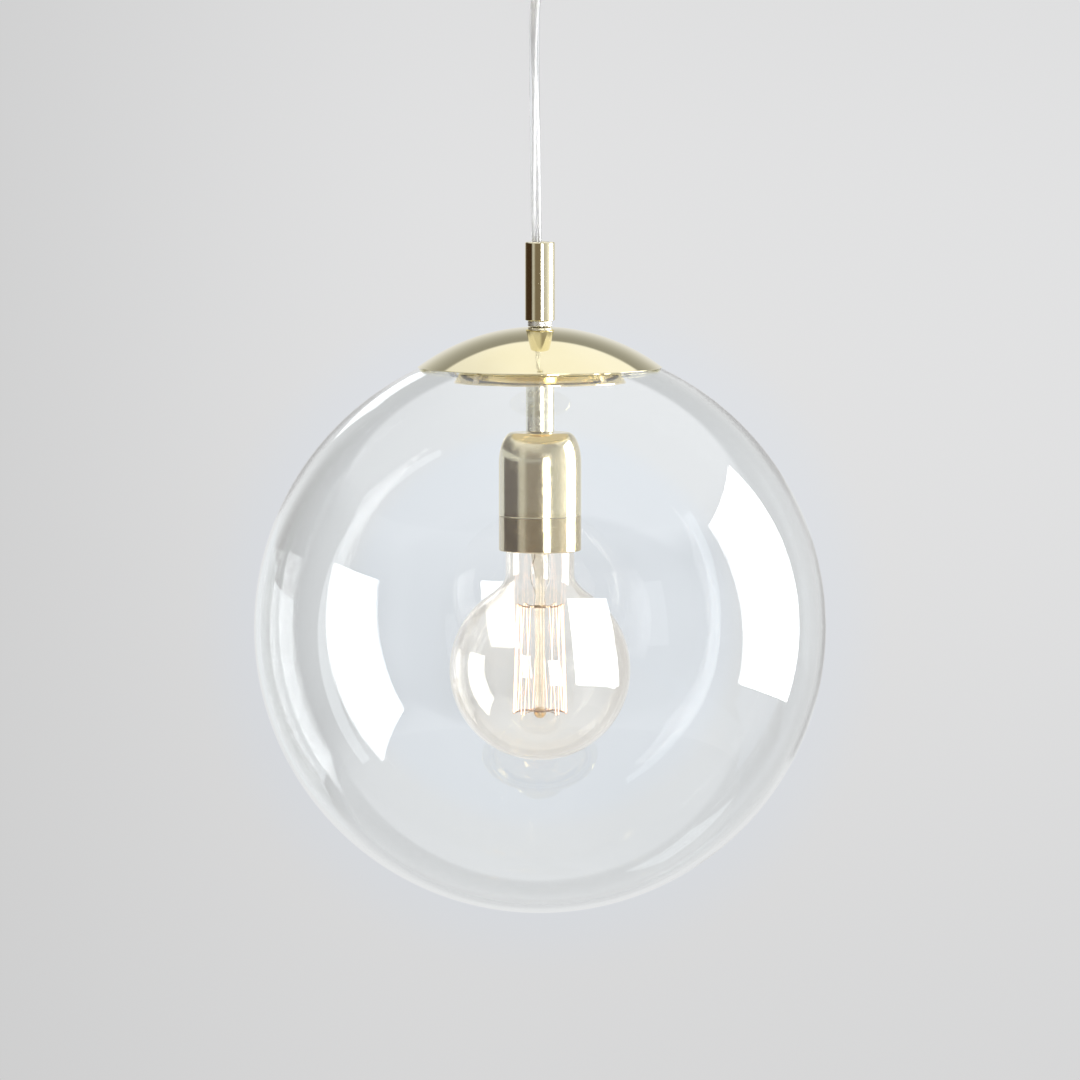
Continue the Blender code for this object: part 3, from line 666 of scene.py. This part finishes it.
def make_gallery():
    """Shallow brass drum under the cap, with its three notches for the catches."""
    radius, wall, floor = 0.0425, 0.0010, 0.0012
    foot, foot_top = 0.0450, 0.1330
    notch_size = (0.006, 0.0082, 0.004)
    notch_middle = (radius, 0.0, 0.1482)
    low, high = bottom_of("shade_gallery"), top_of("shade_gallery")
    outline = fillet([
        (radius, high, 0.0003), (radius, foot_top, 0.0020), (foot, low + 0.0007, 0.0003),
        (foot, low, 0.0003), (NIPPLE_HOLE, low, 0.0),
        (NIPPLE_HOLE, low + floor, 0.0), (radius - wall, low + floor, 0.0008), (radius - wall, high, 0.0003),
    ])
    # warm_brass holds painted warm filament light on top of the drum's own brass tone.
    drum = turned("gallery_drum", outline, "warm_brass", 192)
    for i in range(3):
        angle = radians(90 + 120 * i)
        shape = bmesh.new()
        matrix = Matrix.Rotation(angle, 4, "Z") @ Matrix.Translation(notch_middle)
        bmesh.ops.create_cube(shape, size=1.0, matrix=matrix @ Matrix.Diagonal((*notch_size, 1.0)))
        mesh = bpy.data.meshes.new(f"notch_{i}")
        shape.to_mesh(mesh)
        shape.free()
        cutter = bpy.data.objects.new(f"notch_{i}", mesh)
        cutter.location.z = GLOBE_Z
        bpy.context.scene.collection.objects.link(cutter)
        hole = drum.modifiers.new("notch", "BOOLEAN")
        hole.operation = "DIFFERENCE"
        hole.object = cutter
        apply_modifiers(drum)
        bpy.data.objects.remove(cutter)
    drum.data.set_sharp_from_angle(angle=radians(40))
    stand_for(drum, "shade_gallery")


def apply_modifiers(piece):
    """Replace a piece's mesh by what its modifiers make of it."""
    bpy.context.view_layer.update()
    mesh = bpy.data.meshes.new_from_object(piece.evaluated_get(bpy.context.evaluated_depsgraph_get()))
    piece.modifiers.clear()
    piece.data = mesh


# ---------------------------------------------------------------- fittings on the axis

def make_axis_fittings():
    """Cord grip, ring nut, threaded nipple and the tube down to the lamp holder."""
    low, high, radius = bottom_of("cord_grip"), top_of("cord_grip"), 0.00785
    bore, shelf = 0.0050, 0.1758
    grip = turned("grip_tube", fillet([
        (bore, high, 0.0004), (radius, high, 0.0007), (radius, low, 0.0003), (NIPPLE_HOLE, low, 0.0),
        (NIPPLE_HOLE, shelf, 0.0), (bore, shelf + 0.0002, 0.0),
    ]), "bright_brass")
    stand_for(grip, "cord_grip")

    low, high, radius = bottom_of("cap_nut"), top_of("cap_nut"), 0.00645
    middle = (low + high) / 2
    groove, half = 0.0003, 0.0002
    nut = turned("ring_nut", fillet([
        (NIPPLE_HOLE, high, 0.0), (radius, high, 0.0004), (radius, middle + half, 0.0001),
        (radius - groove, middle, 0.0001), (radius, middle - half, 0.0001), (radius, low, 0.0004),
        (NIPPLE_HOLE, low, 0.0),
    ]), "bright_steel")
    stand_for(nut, "cap_nut")

    low, high, radius = bottom_of("stem_tube"), top_of("stem_tube"), 0.0074
    tube = turned("stem_sleeve", fillet([
        (NIPPLE_HOLE, high, 0.0), (radius, high, 0.0003), (radius, low, 0.0003), (NIPPLE_HOLE, low, 0.0),
    ]), "pale_brass")
    stand_for(tube, "stem_tube")

    pitch, depth, bore = 0.001, 0.0005, 0.0039
    low, high = bottom_of("nipple"), top_of("nipple")
    count = int((high - low) / pitch * 5)
    heights = [high - (high - low) * i / count for i in range(count + 1)]
    outline = [(NIPPLE_RADIUS, height) for height in heights] + [(bore, low), (bore, high)]

    def thread(radius, angle, height):
        if radius < NIPPLE_RADIUS - 0.0001:
            return radius
        phase = (height / pitch - angle / (2 * pi)) % 1.0
        return radius - depth * (1 - abs(2 * phase - 1))

    nipple = turned("nipple_thread", outline, "zinc_steel", 48, shape=thread)
    stand_for(nipple, "nipple")


# ---------------------------------------------------------------- lamp holder

HOLDER_RADIUS = 0.0216
HOLDER_WALL = 0.0011
SHOULDER_WIDTH = 0.0070
SHOULDER_HEIGHT = 0.0165
THREAD_PITCH = 0.003629
SHELL_DEPTH = 0.0003
CAP_DEPTH = 0.0008


def make_holder():
    """Brass shell in two parts, ceramic body, threaded shell and contacts."""
    top, seam, bottom = top_of("holder_cap"), bottom_of("holder_cap"), bottom_of("holder_ring")
    centre = HOLDER_RADIUS - SHOULDER_WIDTH
    inner = HOLDER_RADIUS - HOLDER_WALL
    shoulder = top - SHOULDER_HEIGHT
    edge = 0.00010
    outline = [(NIPPLE_HOLE, top)]
    outline += arc(centre, shoulder, SHOULDER_WIDTH, SHOULDER_HEIGHT, 90, 0, 28)
    outline += [(HOLDER_RADIUS, seam + 0.00012), (HOLDER_RADIUS - edge, seam), (inner, seam)]
    outline += arc(centre, shoulder, SHOULDER_WIDTH - HOLDER_WALL, SHOULDER_HEIGHT - HOLDER_WALL, 0, 90, 20)
    outline += [(NIPPLE_HOLE, top - HOLDER_WALL)]
    stand_for(turned("holder_upper", outline, "satin_brass", 192, smooth_angle=50), "holder_cap")

    high = top_of("holder_ring")
    lip = 0.0193
    outline = fillet([
        (HOLDER_RADIUS, high, edge), (HOLDER_RADIUS, bottom, 0.0006), (lip, bottom, 0.0004),
        (lip, bottom + HOLDER_WALL, 0.0003), (inner, bottom + 0.0022, 0.0004), (inner, high, 0.0002),
    ])
    stand_for(turned("holder_lower", outline, "shell_brass", 192), "holder_ring")

    skirt, bore, floor, ceramic_top, ceramic_foot = inner - GAP, 0.0143, 0.0728, 0.0790, 0.0480
    outline = fillet([
        (0.0, ceramic_top, 0.0), (0.0120, ceramic_top, 0.0004), (skirt, ceramic_top - 0.0020, 0.0006),
        (skirt, ceramic_foot, 0.0005), (bore, ceramic_foot, 0.0003), (bore, floor, 0.0005),
        (0.0, floor, 0.0),
    ])
    stand_for(turned("holder_ceramic", outline, "holder_ceramic", 96, solid=True), "holder_body")

    high, low = top_of("screw_shell"), bottom_of("screw_shell")
    outer, gauge, sheet, hole = 0.0140, 0.00045, 0.0005, 0.0062
    count = 80
    run = [(low + (high - 0.0008 - low) * i / count) for i in range(count + 1)]
    outline = [(hole, high), (outer - 0.0004, high)] + [(outer, h) for h in reversed(run)]
    outline += [(outer - gauge, h) for h in run]
    outline += [(outer - 2 * gauge, high - sheet), (hole, high - sheet)]

    def shell_thread(r, angle, height):
        if r < outer - 0.0005 or height > high - 0.0006:
            return r
        phase = height / THREAD_PITCH - angle / (2 * pi)
        return r - SHELL_DEPTH * (0.5 - 0.5 * cos(2 * pi * phase))

    shell = turned("socket_thread", outline, "contact_brass", 96, shape=shell_thread)
    stand_for(shell, "screw_shell")


# ---------------------------------------------------------------- bulb

BULB_RADIUS = 0.0475
BULB_CENTRE = -0.0225
BULB_WALL = 0.0007
NECK_RADIUS = 0.0180
NECK_TOP = 0.0380
NECK_BOTTOM = 0.0275
NECK_MEETS_GLOBE = 0.0267
LOOP_COUNT = 9
CAGE_TOP = 0.0115
CAGE_BOTTOM = -0.0450
CAGE_TOP_RADIUS = 0.0120
CAGE_BOTTOM_RADIUS = 0.0140
FILAMENT_RADIUS = 0.00026


def bulb_side(wall):
    """Outline of the bulb's glass, inset by a wall, from the neck's end to its lowest point."""
    neck = NECK_RADIUS - wall
    globe = BULB_RADIUS - wall
    meets = NECK_MEETS_GLOBE - wall * 0.6
    rise = sqrt(globe ** 2 - meets ** 2)
    join_point = Vector((meets, BULB_CENTRE + rise))
    start = Vector((neck, NECK_BOTTOM))
    bend = Vector((neck, join_point.y + meets / rise * (meets - neck)))
    coarse = [(0.0118 - wall, 0.0520), (0.0120 - wall, 0.0462), (0.0150 - wall, 0.0440),
              (0.0173 - wall, 0.0410), (neck, NECK_TOP), (neck, (NECK_TOP + NECK_BOTTOM) / 2)]
    points = [tuple(p) for p in smooth_through(coarse, 36)]
    for i in range(20):
        t = i / 19
        points.append(tuple(start * (1 - t) ** 2 + bend * 2 * t * (1 - t) + join_point * t ** 2))
    top = degrees(asin(rise / globe))
    points += arc(0, BULB_CENTRE, globe, globe, top, -90, 64)[1:]
    points[-1] = (0.0, BULB_CENTRE - globe)
    return points


def make_bulb_shell():
    """Glass envelope, threaded cap, black insulator and solder tip."""
    outline = bulb_side(BULB_WALL)[::-1] + bulb_side(0.0)
    stand_for(turned("bulb_globe", outline, "bulb_glass", STEPS, solid=True, smooth_angle=0), "bulb_envelope")

    high, low = top_of("bulb_cap"), bottom_of("bulb_cap")
    outer, wall, thread_top = 0.0130, 0.0004, 0.0646
    count = 84
    run = [thread_top - (thread_top - low) * i / count for i in range(count + 1)]
    outline = [(0.0104, high), (0.0118, high - 0.0006)] + [(outer, h) for h in run]
    outline += [(outer - wall, h) for h in reversed(run)]
    outline += [(0.0115, high - 0.0011), (0.0101, high - 0.0003)]

    def cap_thread(r, angle, height):
        if r < outer - wall - 0.00001:
            return r
        phase = height / THREAD_PITCH - angle / (2 * pi)
        fade = min(1.0, max(0.0, (height - low - 0.0015) / 0.002))
        return r - CAP_DEPTH * fade * (0.5 - 0.5 * cos(2 * pi * phase))

    stand_for(turned("bulb_thread", outline, "contact_brass", 96, shape=cap_thread), "bulb_cap")
    top, foot, rim = 0.0686, 0.0650, 0.0098
    outline = fillet([(0.0, top, 0.0), (0.0048, top, 0.0004), (rim, top - 0.0018, 0.0006),
                      (rim, foot, 0.0002), (0.0, foot, 0.0)])
    stand_for(turned("bulb_insulation", outline, "black_insulator", 64, solid=True), "bulb_insulator")
    base, rise = 0.0689, 0.0015
    outline = arc(0, base, 0.0045, rise, 90, 0, 10) + [(0.0, base)]
    outline[0] = (0.0, base + rise)
    stand_for(turned("bulb_contact", outline, "zinc_steel", 48, solid=True), "bulb_tip")


def cage_point(turn, radius, height):
    angle = 2 * pi * turn / LOOP_COUNT
    return (radius * sin(angle), -radius * cos(angle), height)


def make_support(name, node, reach, height, drop):
    """A hub on the glass rod with a hooked spoke to every loop of the filament."""
    inner, outer, half = 0.0029, 0.0034, 0.0006
    pieces = [turned(f"{name}_hub", fillet([
        (inner, height + half, 0.0), (outer, height + half, 0.0002),
        (outer, height - half, 0.0002), (inner, height - half, 0.0),
    ], 3), "support_wire", 32)]
    for i in range(LOOP_COUNT):
        angle = 2 * pi * i / LOOP_COUNT + (0.0 if drop < 0 else pi / LOOP_COUNT)
        out = Vector((sin(angle), -cos(angle), 0.0))
        spoke = [(0.0032, 0.0), (reach * 0.55, -0.3), (reach * 0.93, 0.4), (reach + 0.0004, 0.9),
                 (reach + 0.0007, 0.3)]
        route = [out * away + Vector((0, 0, height + drop * bend)) for away, bend in spoke]
        pieces.append(as_mesh(wire(f"{name}_{i}", route, 0.00022, "support_wire", sides=2)))
    bpy.context.view_layer.update()
    stand_for(join(name, pieces), node)


def make_bulb_inside():
    """Pressed glass stem and rod, the squirrel-cage filament, its supports and its leads."""
    outline = fillet([
        (0.0, 0.0480, 0.0), (0.0052, 0.0480, 0.0004), (0.0048, 0.0400, 0.003), (0.0043, 0.0345, 0.003),
        (0.0026, 0.0268, 0.003), (0.0025, 0.0245, 0.002), (0.0025, CAGE_BOTTOM, 0.0010),
        (0.0, CAGE_BOTTOM - 0.0010, 0.0),
    ])
    stand_for(turned("bulb_pinch_and_rod", outline, "stem_glass", 48, solid=True), "bulb_stem")
    outline = arc(0, CAGE_BOTTOM - 0.0002, 0.0032, 0.0030, 90, -90, 16)
    bead = turned("rod_bead", outline, "amber", 32, solid=True, smooth_angle=0)
    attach(bead, "bulb")
    for number, side in ((1, -1), (2, 1)):
        route = [(side * 0.0022, -0.0012, 0.0475), (side * 0.0030, -0.0026, 0.0420),
                 (side * 0.0027, -0.0034, 0.0375), (side * 0.0038, -0.0022, 0.0335)]
        seal = as_mesh(wire(f"seal_wire_{number}", route, 0.00030, "support_wire", sides=3))
        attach(seal, "bulb")
    inset, hook = 0.0004, 0.0010
    make_support("cage_top", "support_top", CAGE_TOP_RADIUS - inset, CAGE_TOP - 0.0006, hook)
    make_support("cage_bottom", "support_bottom", CAGE_BOTTOM_RADIUS - inset, CAGE_BOTTOM + 0.0006, -hook)
    points = []
    for i in range(LOOP_COUNT):
        if i:
            points += [cage_point(i - 0.10, CAGE_BOTTOM_RADIUS, CAGE_BOTTOM),
                       cage_point(i + 0.10, CAGE_BOTTOM_RADIUS, CAGE_BOTTOM)]
        points += [cage_point(i + 0.40, CAGE_TOP_RADIUS, CAGE_TOP),
                   cage_point(i + 0.60, CAGE_TOP_RADIUS, CAGE_TOP)]
    cage = wire("filament_cage", points, FILAMENT_RADIUS, "filament", sides=3, smooth=False)
    stand_for(as_mesh(cage), "filament")
    for number, end, side in ((1, points[0], 1), (2, points[-1], -1)):
        x, y, height = end
        route = [(side * 0.0046, 0.0, 0.0330), (side * 0.0048, -0.001, 0.0250),
                 (x * 0.7, y * 0.7, 0.0175), (x, y, height + 0.0004)]
        lead = as_mesh(wire(f"lead_{number}", route, 0.00025, "zinc_steel", sides=3))
        stand_for(lead, f"lead_wire_{number}")


# ---------------------------------------------------------------- ceiling fitting

def make_canopy():
    """Brass cup and the gland that the cord hangs from.

    The ceiling fitting is out of the cap's reflections, as it would be on a longer cord.
    """
    low, high = bottom_of("canopy_cup"), top_of("canopy_cup")
    radius, wall, hole, corner = 0.050, 0.0012, 0.0062, 0.006
    outline = fillet([
        (radius, high, 0.0003), (radius, low, corner), (hole, low, 0.0003), (hole, low + wall, 0.0),
        (radius - wall, low + wall, corner - wall), (radius - wall, high, 0.0003),
    ], 12)
    shell = stand_for(turned("canopy_shell", outline, "polished_brass", 192), "canopy_cup")

    low, high = bottom_of("gland"), top_of("gland")
    thread, flange, flange_top, bore = 0.0059, 0.0095, 0.3577, 0.0036
    outline = fillet([
        (thread, high, 0.0003), (thread, flange_top, 0.0002), (flange, flange_top, 0.0002),
        (flange, flange_top - 0.0019, 0.0006), (0.0090, low, 0.0004), (0.0082, low, 0.0003),
        (0.0056, PIVOT_HEIGHT - 0.0010, 0.0005), (0.0050, PIVOT_HEIGHT, 0.0),
        (0.0046, PIVOT_HEIGHT + 0.0019, 0.0), (bore, 0.3555, 0.0003), (bore, high, 0.0002),
    ])
    body = stand_for(turned("gland_body", outline, "satin_brass", 96), "gland")
    ceiling = BODY_OF["canopy_cup"]
    for thing in [shell, body] + [NODES[name] for name in NODES if BODY_OF[name] == ceiling]:
        thing.visible_glossy = False


def dress_cad_nodes():
    """Finishes for the CAD nodes whose shape is already right."""
    for name, thing in NODES.items():
        thing.data.materials.clear()
        thing.data.materials.append(LOOKS[SLOT_OF[name]])


# ---------------------------------------------------------------- studio

class Graph:
    """Short calls for a tree of plain values, for the panels and the world."""

    def __init__(self, tree):
        self.tree = tree
        tree.nodes.clear()

    def node(self, kind, **values):
        made = self.tree.nodes.new(f"ShaderNode{kind}")
        for name, value in values.items():
            setattr(made, name, value)
        return made

    def feed(self, value, socket):
        if isinstance(value, bpy.types.NodeSocket):
            self.tree.links.new(value, socket)
        elif isinstance(value, tuple):
            socket.default_value = (*value, 1.0)
        else:
            socket.default_value = value

    def math(self, operation, *values):
        made = self.node("Math", operation=operation)
        for i, value in enumerate(values):
            self.feed(value, made.inputs[i])
        return made.outputs["Value"]

    def add(self, first, second):
        return self.math("ADD", first, second)

    def times(self, first, second):
        return self.math("MULTIPLY", first, second)

    def step(self, value, low, high, start=0.0, end=1.0):
        """A smooth step of a value from start to end, as it goes from low to high."""
        if low > high:
            low, high, start, end = high, low, end, start
        made = self.node("MapRange", interpolation_type="SMOOTHSTEP")
        for socket, number in zip(("From Min", "From Max", "To Min", "To Max"), (low, high, start, end)):
            made.inputs[socket].default_value = number
        self.feed(value, made.inputs["Value"])
        return made.outputs["Result"]

    def mix(self, factor, first, second):
        made = self.node("Mix", data_type="RGBA")
        self.feed(factor, made.inputs["Factor"])
        self.feed(first, made.inputs["A"])
        self.feed(second, made.inputs["B"])
        return made.outputs["Result"]


IN_GLASS = (2.0, 6.0)
IN_INNER_BRASS = (4.0,)


def panel(name, corners, brightness, tint=(1.0, 1.0, 1.0), depths=()):
    """A glowing card seen only in reflections: it is clear to the camera and through glass.

    depths, where given, are the numbers of glass surfaces that a ray may have crossed to see
    it, so that a card can show in the glass alone, or in the brass behind the glass.
    """
    mesh = bpy.data.meshes.new(name)
    mesh.from_pydata([Vector(c) + Vector((0.0, 0.0, GLOBE_Z)) for c in corners], [], [(0, 1, 2, 3)])
    material = bpy.data.materials.new(name)
    material.use_nodes = True
    material.cycles.emission_sampling = "NONE"
    graph = Graph(material.node_tree)
    path = graph.node("LightPath").outputs
    seen = graph.math("GREATER_THAN", path["Glossy Depth"], 0.5)
    if depths:
        crossed = [graph.math("COMPARE", path["Transmission Depth"], depth, 0.5) for depth in depths]
        seen = graph.times(seen, graph.add(crossed[0], crossed[1]) if len(depths) > 1 else crossed[0])
    glow = graph.node("Emission")
    graph.feed(tint, glow.inputs["Color"])
    graph.feed(brightness, glow.inputs["Strength"])
    clear = graph.node("BsdfTransparent")
    mix = graph.node("MixShader")
    graph.feed(seen, mix.inputs["Fac"])
    graph.feed(clear.outputs["BSDF"], mix.inputs[1])
    graph.feed(glow.outputs["Emission"], mix.inputs[2])
    graph.feed(mix.outputs["Shader"], graph.node("OutputMaterial").inputs["Surface"])
    mesh.materials.append(material)
    made = bpy.data.objects.new(name, mesh)
    made.visible_camera = False
    made.visible_diffuse = False
    made.visible_shadow = False
    bpy.context.scene.collection.objects.link(made)


def upright_card(name, near, far, low, high, lean, brightness, tint=(1.0, 1.0, 1.0), depths=()):
    """A card standing between two (x, y) places, whose top leans by (x, y)."""
    shift = Vector((*lean, 0.0))
    corners = [Vector((*near, low)), Vector((*far, low)), Vector((*far, high)) + shift,
               Vector((*near, high)) + shift]
    panel(name, corners, brightness, tint, depths)


def make_panels():
    """Softboxes for the highlights, and faint cards for the glass's rim and the inner brass."""
    cool, upright = (0.95, 0.98, 1.0), (0.0, 0.0)
    upright_card("softbox_right", (0.660, -0.106), (0.525, 0.224), -0.182, 0.365, (-0.078, -0.010), 8.0)
    panel("softbox_front", [(0.160, -0.700, -0.198), (0.346, -0.623, -0.205), (0.300, -0.660, 0.190),
                            (0.122, -0.711, 0.196)], 12.0)
    upright_card("reflector_front", (0.300, -0.440), (0.375, -0.365), -0.020, 0.180, upright, 1.6,
                 depths=IN_GLASS)
    for name, near, far, low, high, glow in (
        ("strip_left", (-0.620, -0.060), (-0.610, 0.010), -0.480, 1.100, 2.6),
        ("card_left", (-0.820, 0.330), (-0.690, 0.640), -0.560, 0.060, 1.9),
        ("card_rear", (-0.690, 0.650), (-0.400, 0.916), -0.560, 0.100, 0.9),
        ("card_high", (-0.430, 0.860), (-0.200, 0.940), 0.300, 0.500, 2.6),
    ):
        upright_card(name, near, far, low, high, upright, glow, cool, IN_GLASS)
    for name, near, far, low, high, glow, tint in (
        ("card_shell", (-0.353, 0.188), (-0.200, 0.346), -0.080, 0.120, 0.85, (0.82, 0.87, 1.0)),
        ("card_drum", (-0.257, 0.306), (-0.283, -0.283), 0.105, 0.140, 0.70, (0.88, 0.93, 1.0)),
        ("card_drum_front", (-0.283, -0.283), (0.060, -0.395), 0.104, 0.136, 0.45, (0.92, 0.95, 1.0)),
    ):
        upright_card(name, near, far, low, high, upright, glow, tint, IN_INNER_BRASS)


def room_around(graph, x, y, z):
    """The room's light by direction: dark to the left, bright to the right, above and below."""
    azimuth = graph.math("ARCTAN2", x, graph.times(y, -1.0))
    turn = graph.add(graph.times(azimuth, 1 / (2 * pi)), 0.5)
    ramp = graph.node("ValToRGB")
    graph.feed(turn, ramp.inputs["Fac"])
    dark, dim = (0.050, 0.030, 0.016), (0.20, 0.165, 0.120)
    grey, card, white, behind = (0.66,) * 3, (0.52,) * 3, (1.04,) * 3, (0.80,) * 3
    stops = [(-180, behind), (-154, behind), (-144, (0.16, 0.13, 0.10)), (-115, dark), (-68, dark),
             (-58, card), (-46, card), (-38, (0.25, 0.22, 0.17)), (-30, dim), (2, dim), (22, (0.44,) * 3),
             (34, (0.56,) * 3), (55, (0.68,) * 3), (66, white), (112, (0.90,) * 3), (126, grey),
             (150, grey), (166, behind)]
    elements = ramp.color_ramp.elements
    while len(elements) < len(stops):
        elements.new(0.5)
    for element, (angle, colour) in zip(elements, stops):
        element.position = angle / 360 + 0.5
        element.color = (*colour, 1.0)
    level = ramp.outputs["Color"]
    raised = graph.mix(graph.step(x, -0.1, 0.35), (0.76, 0.76, 0.76), (0.38, 0.37, 0.36))
    raised = graph.mix(graph.step(y, -0.1, 0.3), raised, (0.32, 0.32, 0.31))
    room = graph.mix(graph.step(z, 0.10, 0.62), level, raised)
    slant = graph.add(graph.times(z, -1.17), graph.times(x, -0.07))
    rear = graph.step(graph.add(y, slant), 0.04, -0.04)
    front = graph.step(graph.add(graph.times(y, -1.0), graph.times(z, -0.78)), 0.05, -0.05)
    side = graph.step(graph.add(graph.math("ABSOLUTE", x), graph.times(z, -1.6)), 0.25, -0.25)
    above = graph.times(graph.times(rear, front), side)
    ceiling = graph.mix(graph.step(x, -0.45, -0.08), (0.90, 0.90, 0.91), (1.08, 1.08, 1.09))
    room = graph.mix(above, room, ceiling)
    ground = graph.mix(graph.step(y, 0.0, 0.5), (0.95, 0.95, 0.95), (0.60, 0.60, 0.61))
    return graph.mix(graph.step(z, -0.36, -0.62), room, ground)


def backdrop_behind(graph, x, y, z):
    """The plain backdrop: darker to the left and low down, faintly cool around the globe."""
    across = graph.step(x, -0.108, -0.004)
    down = graph.step(z, -0.050, -0.175, 1.0, 0.46)
    top = graph.step(z, -0.036, 0.010, 1.0, 0.86)
    lit = graph.times(graph.times(across, down), top)
    plain = graph.mix(lit, (0.610, 0.610, 0.611), (0.756, 0.757, 0.762))
    aim = Vector((0.0, cos(CAMERA_ELEVATION), -sin(CAMERA_ELEVATION) - CAMERA_AIM / CAMERA_DISTANCE))
    aim.normalize()
    parts = [graph.times(value, number) for value, number in zip((x, y, z), aim)]
    near = graph.add(graph.add(parts[0], parts[1]), parts[2])
    halo = graph.step(near, cos(0.0500), cos(0.0385))
    tinted = graph.node("Mix", data_type="RGBA", blend_type="MULTIPLY")
    graph.feed(halo, tinted.inputs["Factor"])
    graph.feed(plain, tinted.inputs["A"])
    graph.feed((0.975, 1.0, 1.035), tinted.inputs["B"])
    return tinted.outputs["Result"]


def make_world():
    """The backdrop, a lighter copy of it through glass, and the room for reflections."""
    world = bpy.data.worlds.new("studio")
    bpy.context.scene.world = world
    world.use_nodes = True
    graph = Graph(world.node_tree)
    parts = graph.node("SeparateXYZ")
    graph.feed(graph.node("TexCoord").outputs["Generated"], parts.inputs["Vector"])
    x, y, z = (parts.outputs[axis] for axis in "XYZ")
    backdrop = backdrop_behind(graph, x, y, z)
    path = graph.node("LightPath").outputs
    lifted = graph.node("Mix", data_type="RGBA", blend_type="MULTIPLY")
    graph.feed(graph.math("GREATER_THAN", path["Transmission Depth"], 0.5), lifted.inputs["Factor"])
    graph.feed(backdrop, lifted.inputs["A"])
    graph.feed((1.055, 1.072, 1.085), lifted.inputs["B"])
    seen = graph.math("GREATER_THAN", path["Glossy Depth"], 0.5)
    light = graph.node("Background")
    both = graph.mix(seen, lifted.outputs["Result"], room_around(graph, x, y, z))
    graph.feed(both, light.inputs["Color"])
    graph.feed(light.outputs["Background"], graph.node("OutputWorld").inputs["Surface"])


FLOOR_HEIGHT = -5.2


def make_floor():
    """A wide pale floor far below the light."""
    mesh = bpy.data.meshes.new("floor")
    shape = bmesh.new()
    bmesh.ops.create_circle(shape, cap_ends=True, segments=96, radius=7.0)
    shape.to_mesh(mesh)
    shape.free()
    look = Look("floor_pale", (0.80, 0.80, 0.80), 0.7)
    look.colours(look.noise(1.5, 3.0), (0.3, (0.79, 0.79, 0.79)), (0.7, (0.82, 0.82, 0.82)))
    mesh.materials.append(look.material)
    floor = bpy.data.objects.new("floor", mesh)
    floor.location.z = FLOOR_HEIGHT
    bpy.context.scene.collection.objects.link(floor)


def area_light(name, place, target, width, height, power):
    data = bpy.data.lights.new(name, "AREA")
    data.shape = "RECTANGLE"
    data.size = width
    data.size_y = height
    data.energy = power
    light = bpy.data.objects.new(name, data)
    light.location = Vector(place) + Vector((0.0, 0.0, GLOBE_Z))
    aim = Vector(target) - Vector(place)
    light.rotation_euler = aim.to_track_quat("-Z", "Y").to_euler()
    light.visible_camera = False
    light.visible_glossy = False
    light.visible_transmission = False
    bpy.context.scene.collection.objects.link(light)


def make_lights():
    area_light("light_right", (0.59, 0.06, 0.09), (0.0, 0.0, 0.05), 0.33, 0.55, 3.0)
    area_light("light_front", (0.46, -1.14, 0.0), (0.0, 0.0, 0.05), 0.34, 0.67, 8.0)


scene = bpy.context.scene
scene.view_settings.view_transform = "Standard"
scene.view_settings.look = "None"
scene.cycles.max_bounces = 32
scene.cycles.transmission_bounces = 28
scene.cycles.glossy_bounces = 12
scene.cycles.transparent_max_bounces = 32
scene.cycles.caustics_reflective = True
scene.cycles.caustics_refractive = True
scene.cycles.blur_glossy = 0.0

dress_cad_nodes()
make_camera()
make_cord()
make_globe()
make_cap()
make_gallery()
make_axis_fittings()
make_holder()
make_bulb_shell()
make_bulb_inside()
make_canopy()
make_panels()
make_world()
make_floor()
make_lights()
